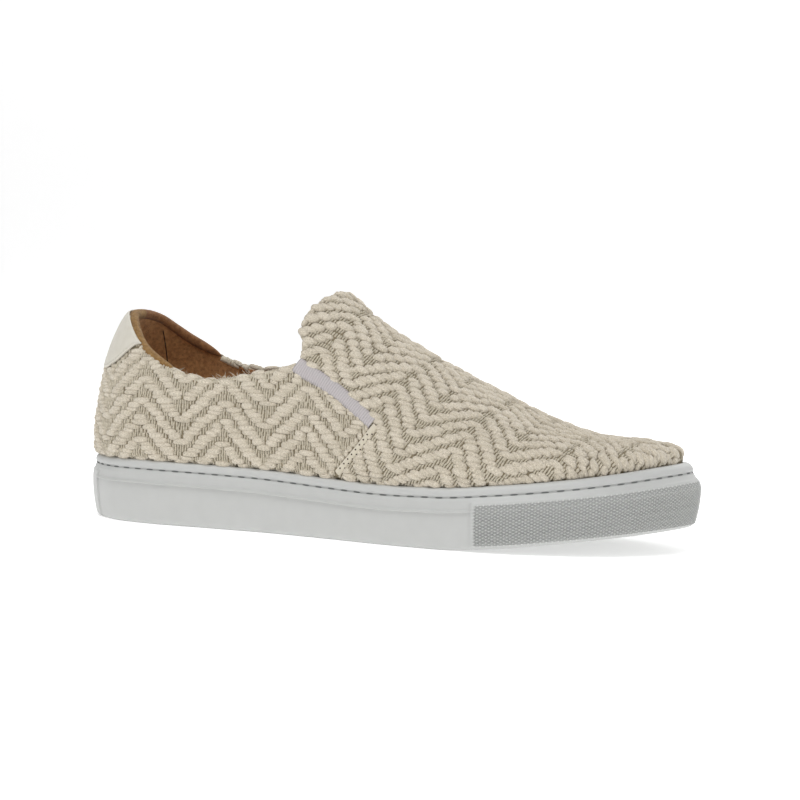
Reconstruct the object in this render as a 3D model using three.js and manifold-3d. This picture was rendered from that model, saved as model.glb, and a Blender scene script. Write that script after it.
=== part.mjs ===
// A right slip-on shoe: a moulded cup sole that holds a woven upper with an elastic gusset on each side.
// Millimetres, Z up, toe towards +X and the inner side of the foot towards +Y.
import * as THREE from 'three';
import { mergeVertices } from 'three/addons/utils/BufferGeometryUtils.js';
import Module from 'manifold-3d';

const wasm = await Module();
wasm.setup();

// Driving sizes of the last and the shoe
const LENGTH = 298; // sole, heel back to toe tip
const BALL_WIDTH = 106; // sole across the ball
const HEEL_WIDTH = 76; // sole across the heel
const INSTEP_HEIGHT = 112; // top of the tongue over the ground
const TOE_HEIGHT = 48.9; // top of the toe box over the ground
const HEEL_TOP = 100.5; // back of the collar over the ground
const COLLAR_LOW = 71.2; // lowest point of the collar, outer side

// Walls and fits
const WALL = 2.6; // upper: woven cloth with its lining
const COLLAR_PAD = 1.8; // soft padding added round the heel's collar
const FIT = 0.3; // clearance between neighbouring pieces
const OVERHANG = 5; // how far the upper bulges out over the rim at the heel
const SHOULDER = 3.2; // height over which it does so
const BULGE = { up: 0.22, out: 0.62 }; // shares of the two where the bulge is roundest

// Cup sole
const SIDE_HEIGHT = 30.4; // side wall at the heel
const TOE_SPRING = 11.3; // rise of the toe over the ground
const HEEL_FLOOR = 12; // thickness under the heel
const FORE_FLOOR = 7; // thickness under the forefoot
const CUP_WALL = 4; // thickness of the wall at its rim
const RIM_INSET = 1; // rim inside the widest line of the side
const TOE_LEAN = 3; // how much further the rim leans in at the toe
const SIDE_TAPER = 2.6; // ground edge inside the widest line
const BEAD_HEIGHT = 4.1; // rolled bead above the stitch groove
const RIDGE_DROP = 10.8; // raised line below the rim
const RELIEF = 1; // unit of the relief on the side
const PANEL_RELIEF = 0.7; // toe and heel panels stand out by this
const PANEL_STEP = 0.3; // length over which a panel's edge rises
const TOE_PANEL_START = 0.702; // share of the length
const HEEL_PANEL_END = 0.036; // share of the length

// Insole, gussets, tab and seams
const INSOLE_THICK = 4.6;
const INSOLE_EDGE = 0.9; // rounding of its edge
const GORE_WIDTH = 4; // elastic that shows between tongue and quarter
const GORE_THICK = 1.4;
const GORE_DEPTH = 0.4; // its face below the face of the cloth
const TAB_THICK = 1;
const SEAM_WIDTH = 4.4; // raised fold from gusset to sole
const SEAM_RISE = 1.1;

// Sections from heel back (first row) to toe tip (last row), lengths as shares:
// outerX, innerX, topX of LENGTH; outerY, innerY of the local width, which goes from heel width (fore 0)
// to ball width (fore 1); topHalf of HEEL_WIDTH and topY of BALL_WIDTH; rise from toe box to instep height;
// round is the exponent of the section; side of SIDE_HEIGHT; spring of TOE_SPRING; lift from forefoot
// to heel floor; lean of TOE_LEAN; swell of OVERHANG.
const SECTION_COLUMNS = [
  'fore', 'outerX', 'outerY', 'innerX', 'innerY', 'topX', 'topHalf', 'topY', 'rise', 'round',
  'side', 'spring', 'lift', 'lean', 'swell',
];
const SECTIONS = [
  [0.00, 0.000, 0.000, 0.000, 0.000, 0.111, 0.000, 0.000, 0.98, 2.0, 1.000, 0.000, 1.00, 0.00, 1.00],
  [0.00, 0.020, 0.245, 0.020, 0.245, 0.116, 0.050, 0.000, 0.98, 2.0, 1.000, 0.000, 1.00, 0.00, 1.00],
  [0.00, 0.075, 0.428, 0.075, 0.428, 0.138, 0.100, 0.000, 0.99, 2.0, 0.998, 0.000, 1.00, 0.00, 0.92],
  [0.00, 0.154, 0.500, 0.154, 0.493, 0.180, 0.140, 0.000, 1.00, 2.0, 1.000, 0.000, 0.98, 0.00, 0.78],
  [0.10, 0.252, 0.486, 0.252, 0.465, 0.255, 0.150, 0.000, 1.02, 2.0, 0.990, 0.000, 0.82, 0.00, 0.68],
  [0.35, 0.349, 0.454, 0.349, 0.420, 0.345, 0.110, 0.004, 1.10, 2.0, 0.970, 0.000, 0.52, 0.00, 0.64],
  [0.65, 0.450, 0.453, 0.450, 0.414, 0.423, 0.030, 0.008, 1.00, 2.0, 0.925, 0.000, 0.22, 0.00, 0.62],
  [0.90, 0.550, 0.472, 0.550, 0.447, 0.493, 0.000, 0.012, 0.756, 2.0, 0.895, 0.000, 0.05, 0.00, 0.62],
  [1.00, 0.651, 0.483, 0.651, 0.491, 0.581, 0.000, 0.022, 0.526, 2.0, 0.915, 0.000, 0.00, 0.00, 0.60],
  [1.00, 0.745, 0.467, 0.742, 0.510, 0.665, 0.000, 0.034, 0.333, 2.05, 0.927, 0.195, 0.00, 0.10, 0.50],
  [1.00, 0.832, 0.405, 0.830, 0.482, 0.742, 0.000, 0.048, 0.159, 2.15, 0.922, 0.470, 0.00, 0.35, 0.30],
  [1.00, 0.908, 0.302, 0.912, 0.411, 0.809, 0.000, 0.066, 0.047, 2.2, 0.928, 0.726, 0.00, 0.70, 0.10],
  [1.00, 0.968, 0.127, 0.971, 0.288, 0.858, 0.000, 0.084, 0.008, 2.2, 0.950, 0.912, 0.00, 0.95, 0.00],
  [1.00, 1.000, -0.085, 1.000, 0.085, 0.880, 0.000, 0.092, 0.000, 2.2, 0.960, 1.000, 0.00, 1.00, 0.00],
].map((row) => Object.fromEntries(row.map((value, i) => [SECTION_COLUMNS[i], value])));

// Collar in side view: share of LENGTH, then share of the way from COLLAR_LOW up to HEEL_TOP on each side
const COLLAR = [
  { at: 0.030, outer: 1.000, inner: 1.000 },
  { at: 0.055, outer: 1.000, inner: 1.000 },
  { at: 0.074, outer: 0.890, inner: 0.920 },
  { at: 0.094, outer: 0.690, inner: 0.750 },
  { at: 0.118, outer: 0.465, inner: 0.575 },
  { at: 0.150, outer: 0.265, inner: 0.400 },
  { at: 0.188, outer: 0.105, inner: 0.215 },
  { at: 0.225, outer: 0.015, inner: 0.130 },
  { at: 0.255, outer: 0.002, inner: 0.115 },
  { at: 0.312, outer: 0.110, inner: 0.170 },
  { at: 0.356, outer: 0.205, inner: 0.245 },
  { at: 0.392, outer: 0.300, inner: 0.320 },
];
// Back edge of the tongue in side view: shares of LENGTH and of INSTEP_HEIGHT
const TONGUE_EDGE = [
  { at: 0.3950, up: 0.745 },
  { at: 0.3940, up: 0.795 },
  { at: 0.3865, up: 0.838 },
  { at: 0.3910, up: 0.900 },
  { at: 0.4020, up: 0.955 },
  { at: 0.4170, up: 1.000 },
  { at: 0.4310, up: 1.080 },
];
// Middle of the elastic gusset in side view, from above the collar to its lower end
const GORE_LINE = [
  { at: 0.372, up: 0.760 },
  { at: 0.397, up: 0.694 },
  { at: 0.458, up: 0.614 },
  { at: 0.529, up: 0.492 },
];
// Middle of the raised seam in side view, from the gusset down to the rim
const SEAM_LINE = [
  { at: 0.5345, up: 0.463 },
  { at: 0.5130, up: 0.384 },
  { at: 0.4790, up: 0.278 },
];
// Lower edge of the heel tab in side view, from behind the heel to the collar: share of LENGTH, then
// share of the way from COLLAR_LOW up to HEEL_TOP
const TAB_EDGE = [
  { at: -0.030, up: -0.060 },
  { at: 0.015, up: -0.050 },
  { at: 0.036, up: 0.016 },
  { at: 0.065, up: 0.150 },
  { at: 0.091, up: 0.342 },
  { at: 0.108, up: 0.457 },
  { at: 0.140, up: 0.546 },
];

const LAST_ROW = SECTIONS.length - 1;
const AROUND = 2 * LAST_ROW; // the loop runs along the outer side to the toe and back along the inner side
const PER_ROW = 3; // stations between two rows
const ARC_STEPS = 14; // steps of a section from the rim to the ridge
const RIDGE_STEPS = 20; // steps of the ridge's height between two rows
const COLLAR_STEPS = 30;
const TONGUE_STEPS = 14;
const TAB_STEPS = 12;
const BAND_STEPS = 8;
const BEYOND = 200; // reach of a cutting block past the shoe
const NEARLY_ZERO = 1e-6;

function catmull(a, b, c, d, f) {
  const cubic = -a + 3 * b - 3 * c + d;
  const square = 2 * a - 5 * b + 4 * c - d;
  return 0.5 * (2 * b + (c - a) * f + square * f * f + cubic * f * f * f);
}

function splined(valueAt, s) {
  const k = Math.floor(s);
  return catmull(valueAt(k - 1), valueAt(k), valueAt(k + 1), valueAt(k + 2), s - k);
}

// Distance along the rows, 0 at the heel and LAST_ROW at the toe, the same on both sides
function rowOf(s) {
  const wrapped = ((s % AROUND) + AROUND) % AROUND;
  return Math.min(wrapped, AROUND - wrapped);
}

function onInnerSide(s) {
  return ((s % AROUND) + AROUND) % AROUND > LAST_ROW;
}

function column(name, row) {
  return splined((k) => SECTIONS[LAST_ROW - Math.abs(LAST_ROW - Math.abs(k))][name], row);
}

function localWidth(section) {
  return HEEL_WIDTH + (BALL_WIDTH - HEEL_WIDTH) * section.fore;
}

// Widest line of the sole in plan, seen from above
function outlinePoint(s) {
  const pick = (k, outer, inner) => {
    const wrapped = ((k % AROUND) + AROUND) % AROUND;
    return wrapped <= LAST_ROW ? outer(SECTIONS[wrapped]) : inner(SECTIONS[AROUND - wrapped]);
  };
  return new THREE.Vector2(
    splined((k) => pick(k, (r) => r.outerX, (r) => r.innerX) * LENGTH, s),
    splined((k) => pick(k, (r) => -r.outerY * localWidth(r), (r) => r.innerY * localWidth(r)), s),
  );
}

function inward(s) {
  const small = 0.01;
  const along = outlinePoint(s + small).sub(outlinePoint(s - small)).normalize();
  return new THREE.Vector2(-along.y, along.x);
}

function outline(s, inset) {
  return outlinePoint(s).addScaledVector(inward(s), inset);
}

const groundAt = (s) => TOE_SPRING * Math.max(0, column('spring', rowOf(s)));
const rimAt = (s) => groundAt(s) + SIDE_HEIGHT * column('side', rowOf(s));
const leanAt = (s) => THREE.MathUtils.clamp(column('lean', rowOf(s)), 0, 1);
const floorAt = (s) => {
  const lift = THREE.MathUtils.clamp(column('lift', rowOf(s)), 0, 1);
  return groundAt(s) + FORE_FLOOR + (HEEL_FLOOR - FORE_FLOOR) * lift;
};
const rimInsetAt = (s) => RIM_INSET + TOE_LEAN * leanAt(s);
const cupInsetAt = (s) => rimInsetAt(s) + CUP_WALL;

// Stations shared by all pieces, so that neighbouring walls stay parallel
const EVEN_STATIONS = Array.from({ length: LAST_ROW * PER_ROW + 1 }, (_, i) => i / PER_ROW);

// The same stations on the outer side and, mirrored, on the inner side
function loopStations(outerSide, innerSide = outerSide) {
  return [...outerSide, ...innerSide.slice(1, -1).reverse().map((s) => AROUND - s)];
}

// Closed solid through rings of points: rings have one point per station, and the first and last ring
// are closed by rungs from the outer to the inner side
function loft(rings) {
  const count = rings[0].length;
  const half = count / 2;
  const positions = rings.flat().flatMap((p) => [p.x, p.y, p.z]);
  const faces = [];
  const quad = (a, b, c, d) => faces.push(a, b, c, a, c, d);
  for (let r = 0; r + 1 < rings.length; r += 1) {
    for (let k = 0; k < count; k += 1) {
      const next = (k + 1) % count;
      quad(r * count + k, r * count + next, (r + 1) * count + next, (r + 1) * count + k);
    }
  }
  const last = (rings.length - 1) * count;
  for (let k = 0; k < half; k += 1) {
    const across = (count - k) % count;
    quad(k + 1, k, across, count - k - 1);
    quad(last + k, last + k + 1, last + count - k - 1, last + across);
  }
  const geometry = new THREE.BufferGeometry();
  geometry.setAttribute('position', new THREE.Float32BufferAttribute(positions, 3));
  geometry.setIndex(faces);
  return geometry;
}

// A closed geometry as a solid that can be joined and cut
function solid(geometry) {
  const bare = geometry.clone();
  bare.deleteAttribute('normal');
  bare.deleteAttribute('uv');
  const merged = mergeVertices(bare, 1e-4);
  const index = Array.from(merged.index.array);
  const kept = [];
  for (let i = 0; i < index.length; i += 3) {
    const [a, b, c] = index.slice(i, i + 3);
    if (a !== b && b !== c && c !== a) kept.push(a, b, c);
  }
  const mesh = new wasm.Mesh({
    numProp: 3,
    vertProperties: new Float32Array(merged.attributes.position.array),
    triVerts: new Uint32Array(kept),
  });
  return new wasm.Manifold(mesh);
}

function geometryOf(manifold) {
  const mesh = manifold.getMesh();
  const geometry = new THREE.BufferGeometry();
  geometry.setAttribute('position', new THREE.Float32BufferAttribute(mesh.vertProperties, 3));
  geometry.setIndex(Array.from(mesh.triVerts));
  geometry.computeVertexNormals();
  return geometry;
}

// Sole: rows of its side from the rim down, as shares of a band's height, with the relief
// that stands out of the plain side, in RELIEF, and the same for a raised panel
const SIDE_ROWS = [
  { band: 'bead', down: 0.00, relief: -1.30, panelBand: 'bead', panelDown: 0.00, panelRelief: -1.30 },
  { band: 'bead', down: 0.20, relief: -0.30, panelBand: 'bead', panelDown: 0.20, panelRelief: -0.30 },
  { band: 'bead', down: 0.55, relief: 0.15, panelBand: 'bead', panelDown: 0.55, panelRelief: 0.15 },
  { band: 'bead', down: 0.86, relief: 0.00, panelBand: 'bead', panelDown: 0.86, panelRelief: 0.00 },
  { band: 'bead', down: 1.00, relief: -0.80, panelBand: 'bead', panelDown: 1.00, panelRelief: -0.80 },
  { band: 'face', down: 0.09, relief: 0.00, panelBand: 'face', panelDown: 0.09, panelRelief: 0.00 },
  { band: 'face', down: 0.34, relief: 0.00, panelBand: 'face', panelDown: 0.34, panelRelief: 0.00 },
  { band: 'face', down: 0.93, relief: 0.00, panelBand: 'face', panelDown: 0.40, panelRelief: PANEL_RELIEF },
  { band: 'foot', down: 0.00, relief: 0.50, panelBand: 'foot', panelDown: 0.00, panelRelief: PANEL_RELIEF },
  { band: 'foot', down: 0.04, relief: 0.00, panelBand: 'foot', panelDown: 0.10, panelRelief: PANEL_RELIEF },
  { band: 'foot', down: 0.50, relief: 0.00, panelBand: 'foot', panelDown: 0.50, panelRelief: PANEL_RELIEF },
  { band: 'foot', down: 0.92, relief: 0.00, panelBand: 'foot', panelDown: 0.92, panelRelief: PANEL_RELIEF },
  { band: 'foot', down: 1.00, relief: -1.50, panelBand: 'foot', panelDown: 1.00, panelRelief: -0.80 },
];

function sidePoint(s, band, down, relief) {
  const rim = rimAt(s);
  const ground = groundAt(s);
  const tops = { bead: rim, face: rim - BEAD_HEIGHT, foot: rim - RIDGE_DROP };
  const heights = {
    bead: BEAD_HEIGHT,
    face: RIDGE_DROP - BEAD_HEIGHT,
    foot: rim - RIDGE_DROP - ground,
  };
  const z = tops[band] - heights[band] * down;
  const aboveWidest = Math.max(0, (z - tops.foot) / RIDGE_DROP);
  const belowWidest = Math.max(0, (tops.foot - z) / heights.foot);
  const base = rimInsetAt(s) * aboveWidest + SIDE_TAPER * belowWidest ** 2;
  const p = outline(s, base - relief * RELIEF);
  return new THREE.Vector3(p.x, p.y, z);
}

// Station on one side whose outline point lies at this share of the length
function stationAt(share, onInner) {
  let low = 0;
  let high = LAST_ROW;
  for (let i = 0; i < 40; i += 1) {
    const middle = (low + high) / 2;
    const s = onInner ? AROUND - middle : middle;
    if (outlinePoint(s).x < share * LENGTH) low = middle;
    else high = middle;
  }
  return (low + high) / 2;
}

// A panel's ends on one side, in rows: at the stated share and PANEL_STEP further on
function panelBreaks(onInner) {
  const step = (PANEL_STEP / LENGTH) * LAST_ROW;
  const heel = stationAt(HEEL_PANEL_END, onInner);
  const toe = stationAt(TOE_PANEL_START, onInner);
  return { heel, toe, extra: [heel, heel + step, toe, toe + step] };
}

function sole() {
  const sides = { outer: panelBreaks(false), inner: panelBreaks(true) };
  const rows = (breaks) => [...EVEN_STATIONS, ...breaks.extra].sort((a, b) => a - b);
  const stations = loopStations(rows(sides.outer), rows(sides.inner));
  const onPanel = (s) => {
    const { heel, toe } = onInnerSide(s) ? sides.inner : sides.outer;
    const row = rowOf(s);
    return row <= heel + NEARLY_ZERO || row > toe + NEARLY_ZERO;
  };
  const level = (s, inset, z) => {
    const p = outline(s, inset);
    return new THREE.Vector3(p.x, p.y, z);
  };
  const side = SIDE_ROWS.map((row) => stations.map((s) => (onPanel(s)
    ? sidePoint(s, row.panelBand, row.panelDown, row.panelRelief)
    : sidePoint(s, row.band, row.down, row.relief))));
  return solid(loft([
    ...side.reverse(),
    stations.map((s) => level(s, cupInsetAt(s), rimAt(s))),
    stations.map((s) => level(s, cupInsetAt(s), floorAt(s))),
  ]));
}

// Upper: the section at a station climbs from its foot on the sole to the ridge or the ankle's top
function topPoint(s) {
  const row = rowOf(s);
  const half = splined((k) => {
    const kept = LAST_ROW - Math.abs(LAST_ROW - Math.abs(k));
    return Math.sign(k || 1) * SECTIONS[kept].topHalf * HEEL_WIDTH;
  }, row);
  const side = onInnerSide(s) ? 1 : -1;
  return new THREE.Vector2(
    column('topX', row) * LENGTH,
    column('topY', row) * BALL_WIDTH + side * Math.max(0, half),
  );
}

const swellAt = (s) => THREE.MathUtils.clamp(column('swell', rowOf(s)), 0, 1);
const sleeveInsetAt = (s) => cupInsetAt(s) + FIT;
const footInsetAt = (s) => sleeveInsetAt(s) - OVERHANG * swellAt(s);

// Height of the ridge over each place along the shoe, level before the ankle and past the toe box
const RIDGE = Array.from({ length: LAST_ROW * RIDGE_STEPS + 1 }, (_, i) => ({
  x: column('topX', i / RIDGE_STEPS) * LENGTH,
  z: TOE_HEIGHT + (INSTEP_HEIGHT - TOE_HEIGHT) * column('rise', i / RIDGE_STEPS),
}));

function ridgeHeight(x) {
  const next = RIDGE.findIndex((p) => p.x > x);
  if (next === 0) return RIDGE[0].z;
  if (next < 0) return RIDGE[RIDGE.length - 1].z;
  const [a, b] = [RIDGE[next - 1], RIDGE[next]];
  return THREE.MathUtils.mapLinear(x, a.x, b.x, a.z, b.z);
}

function archPoint(s, angle) {
  const foot = outline(s, footInsetAt(s));
  const footZ = rimAt(s) + FIT + SHOULDER;
  const top = topPoint(s);
  const power = 2 / column('round', rowOf(s));
  const across = 1 - Math.max(0, Math.cos(angle)) ** power;
  const up = Math.max(0, Math.sin(angle)) ** power;
  const x = THREE.MathUtils.lerp(foot.x, top.x, across);
  return new THREE.Vector3(
    x,
    THREE.MathUtils.lerp(foot.y, top.y, across),
    THREE.MathUtils.lerp(footZ, ridgeHeight(x), up),
  );
}

function archNormal(s, angle) {
  const small = 0.02;
  const low = Math.max(small, Math.min(angle, Math.PI / 2 - small));
  const normalOn = (station) => {
    const along = archPoint(station + small, low).sub(archPoint(station - small, low));
    const up = archPoint(station, low + small).sub(archPoint(station, low - small));
    return along.cross(up).normalize();
  };
  const row = rowOf(s);
  const atRidge = angle > Math.PI / 2 - NEARLY_ZERO && column('topHalf', row) < NEARLY_ZERO;
  if (!atRidge) return normalOn(s);
  return normalOn(row).add(normalOn(AROUND - row)).normalize();
}

// Closed body of the last's shape, moved out by outset(row, angle) from the face of the cloth
function form(outset, bottomDrop = 0) {
  const stations = loopStations(EVEN_STATIONS);
  const ring = (place) => stations.map(place);
  const straight = (s, z, share) => {
    const inset = THREE.MathUtils.lerp(sleeveInsetAt(s), footInsetAt(s), share);
    const p = outline(s, inset - outset(rowOf(s), 0));
    return new THREE.Vector3(p.x, p.y, z);
  };
  const lip = (s) => rimAt(s) + FIT;
  const rings = [
    ring((s) => straight(s, floorAt(s) + FIT - bottomDrop, 0)),
    ring((s) => straight(s, lip(s), 0)),
    ring((s) => straight(s, lip(s) + BULGE.up * SHOULDER, BULGE.out)),
  ];
  for (let i = 0; i <= ARC_STEPS; i += 1) {
    const angle = (i / ARC_STEPS) * (Math.PI / 2);
    rings.push(ring((s) => {
      const out = outset(rowOf(s), angle);
      return archPoint(s, angle).addScaledVector(archNormal(s, angle), out);
    }));
  }
  return solid(loft(rings));
}

// Side-view outlines, cut straight across the shoe from y0 to y1
function block(outlinePoints, y0, y1) {
  const shape = new THREE.Shape(outlinePoints);
  const geometry = new THREE.ExtrudeGeometry(shape, { depth: y1 - y0, bevelEnabled: false, steps: 1 });
  geometry.rotateX(Math.PI / 2);
  geometry.translate(0, y1, 0);
  return solid(geometry);
}

function sideCurve(points, pieces) {
  return new THREE.SplineCurve(points).getPoints(pieces);
}

const sidePlace = ({ at, up }) => new THREE.Vector2(at * LENGTH, up * INSTEP_HEIGHT);
const collarHeight = (share) => COLLAR_LOW + (HEEL_TOP - COLLAR_LOW) * share;

// What lies above the collar and behind the tongue
function opening() {
  const half = (side, y0, y1) => {
    const points = COLLAR.map((p) => new THREE.Vector2(p.at * LENGTH, collarHeight(p[side])));
    const collar = sideCurve(points, COLLAR_STEPS);
    const tongue = sideCurve(TONGUE_EDGE.map(sidePlace), TONGUE_STEPS);
    const top = INSTEP_HEIGHT + BEYOND;
    return block([
      new THREE.Vector2(-BEYOND, collar[0].y),
      ...collar,
      ...tongue,
      new THREE.Vector2(tongue[tongue.length - 1].x, top),
      new THREE.Vector2(-BEYOND, top),
    ], y0, y1);
  };
  return half('outer', -BEYOND, 0).add(half('inner', 0, BEYOND));
}

// A band of this width along a side-view line, on one side of the shoe
function band(line, width, side, shorten = 0) {
  const curve = new THREE.SplineCurve(line.map(sidePlace));
  const upper = [];
  const lower = [];
  for (let i = 0; i <= BAND_STEPS; i += 1) {
    const p = curve.getPoint(i / BAND_STEPS);
    const along = curve.getTangent(i / BAND_STEPS);
    const normal = new THREE.Vector2(-along.y, along.x);
    if (i === BAND_STEPS) p.addScaledVector(along, -shorten);
    upper.push(p.clone().addScaledVector(normal, width / 2));
    lower.push(p.clone().addScaledVector(normal, -width / 2));
  }
  const y0 = side === 'outer' ? -BEYOND : 0;
  return block([...upper, ...lower.reverse()], y0, y0 + BEYOND);
}

// Inner face of the wall: the collar's padding starts at these angles of the section and fades out
// over these rows
const PAD_ANGLE = { from: 0.5, to: 1.0 };
const PAD_ROWS = { from: 3, to: 6 };

function lining(row, angle) {
  const share = THREE.MathUtils.smoothstep(angle, PAD_ANGLE.from, PAD_ANGLE.to);
  const heel = 1 - THREE.MathUtils.smoothstep(row, PAD_ROWS.from, PAD_ROWS.to);
  return -(WALL + COLLAR_PAD * share * heel);
}

const cloth = form(() => 0);
const cavity = form(lining, 2 * FORE_FLOOR);
const above = opening();

function upper() {
  const slots = ['outer', 'inner'].map((side) => band(GORE_LINE, GORE_WIDTH + 2 * FIT, side));
  return cloth.subtract(cavity).subtract(above).subtract(slots[0]).subtract(slots[1]);
}

function gore(side) {
  const face = form(() => -GORE_DEPTH);
  const back = form(() => -GORE_DEPTH - GORE_THICK, 2 * FORE_FLOOR);
  return face.subtract(back).intersect(band(GORE_LINE, GORE_WIDTH, side, FIT)).subtract(above);
}

function seam(side) {
  const face = form(() => FIT + SEAM_RISE);
  const back = form(() => FIT, 2 * FORE_FLOOR);
  return face.subtract(back).intersect(band(SEAM_LINE, SEAM_WIDTH, side));
}

function heelTab() {
  const points = TAB_EDGE.map((p) => new THREE.Vector2(p.at * LENGTH, collarHeight(p.up)));
  const edge = sideCurve(points, TAB_STEPS);
  const top = INSTEP_HEIGHT + BEYOND;
  const region = block([
    ...edge,
    new THREE.Vector2(edge[edge.length - 1].x, top),
    new THREE.Vector2(edge[0].x, top),
  ], -BEYOND, BEYOND);
  const face = form(() => FIT + TAB_THICK);
  const back = form(() => FIT, 2 * FORE_FLOOR);
  return face.subtract(back).intersect(region).subtract(above);
}

function insole() {
  const stations = loopStations(EVEN_STATIONS);
  const level = (extra, up) => stations.map((s) => {
    const p = outline(s, sleeveInsetAt(s) + WALL + FIT + extra);
    return new THREE.Vector3(p.x, p.y, floorAt(s) + FIT + up);
  });
  return solid(loft([
    level(INSOLE_EDGE, 0),
    level(0, INSOLE_EDGE),
    level(0, INSOLE_THICK - INSOLE_EDGE),
    level(INSOLE_EDGE, INSOLE_THICK),
  ]));
}

function named(name, manifold, color, roughness) {
  const material = new THREE.MeshStandardMaterial({ color, roughness, metalness: 0 });
  const mesh = new THREE.Mesh(geometryOf(manifold), material);
  mesh.name = name;
  return mesh;
}

const RUBBER = 0xcdd1cf;
const CLOTH = 0xc9c1ac;
const ELASTIC = 0xbeb7b9;
const TAB_LEATHER = 0xcdc8bb;
const SUEDE = 0x8a5c33;

const shoe = new THREE.Group();
shoe.add(
  named('cupsole', sole(), RUBBER, 0.55),
  named('upper', upper(), CLOTH, 0.95),
  named('insole', insole(), SUEDE, 0.9),
  named('gore_outer', gore('outer'), ELASTIC, 0.8),
  named('gore_inner', gore('inner'), ELASTIC, 0.8),
  named('heel_tab', heelTab(), TAB_LEATHER, 0.5),
  named('seam_outer', seam('outer'), CLOTH, 0.9),
  named('seam_inner', seam('inner'), CLOTH, 0.9),
);

// Origin: middle of the whole shoe's box, on the ground
const box = new THREE.Box3().setFromObject(shoe);
shoe.position.set(-(box.min.x + box.max.x) / 2, -(box.min.y + box.max.y) / 2, -box.min.z);
shoe.updateMatrixWorld(true);

export default shoe;
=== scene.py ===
# The looks of a right slip-on shoe: a chunky woven upper on a white rubber cup sole.
# Lengths are in millimetres in the shoe's own frame, x from the back of the heel, y from the heel's axis
# towards the inner side, z from the ground. They become metres in the row's frame when a mesh is made.
import math

import bmesh
import bpy
import numpy as np
from mathutils import Matrix, Vector


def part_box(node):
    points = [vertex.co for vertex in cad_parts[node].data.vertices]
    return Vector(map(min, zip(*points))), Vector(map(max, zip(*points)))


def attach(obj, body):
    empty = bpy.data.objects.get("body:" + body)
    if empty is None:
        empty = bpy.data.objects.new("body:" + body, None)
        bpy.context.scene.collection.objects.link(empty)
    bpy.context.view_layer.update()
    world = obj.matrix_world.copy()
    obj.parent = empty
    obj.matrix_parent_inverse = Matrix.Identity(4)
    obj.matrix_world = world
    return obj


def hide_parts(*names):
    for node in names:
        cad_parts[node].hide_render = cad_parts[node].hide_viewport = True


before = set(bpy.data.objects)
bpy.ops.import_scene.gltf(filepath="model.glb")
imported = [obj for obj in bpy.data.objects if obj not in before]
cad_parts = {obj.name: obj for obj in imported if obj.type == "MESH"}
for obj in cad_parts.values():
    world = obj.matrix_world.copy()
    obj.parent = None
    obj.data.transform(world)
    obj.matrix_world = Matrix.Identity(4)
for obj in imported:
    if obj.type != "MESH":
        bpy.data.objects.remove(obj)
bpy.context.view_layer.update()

# Sizes of the last and the sole, as the solids have them
LENGTH = 298.0
BALL_WIDTH = 106.0
HEEL_WIDTH = 76.0
INSTEP_HEIGHT = 112.0
TOE_HEIGHT = 48.9
HEEL_TOP = 100.5
COLLAR_LOW = 71.2
WALL = 2.6
COLLAR_PAD = 1.8
FIT = 0.3
OVERHANG = 5.0
SHOULDER = 3.2
SIDE_HEIGHT = 30.4
TOE_SPRING = 11.3
HEEL_FLOOR = 12.0
FORE_FLOOR = 7.0
CUP_WALL = 4.0
RIM_INSET = 1.0
TOE_LEAN = 3.0
SIDE_TAPER = 2.6
RIDGE_DROP = 10.8
PANEL_RELIEF = 0.7
TOE_PANEL_START = 0.702
HEEL_PANEL_END = 0.036

MM = 0.001
HEEL_AXIS_Y = 1.53  # the middle of the shoe's box lies this far to the inner side of the heel's axis
sole_low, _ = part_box("cupsole")
SHIFT = np.array([sole_low.x / MM + PANEL_RELIEF, -HEEL_AXIS_Y, 0.0])

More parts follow.
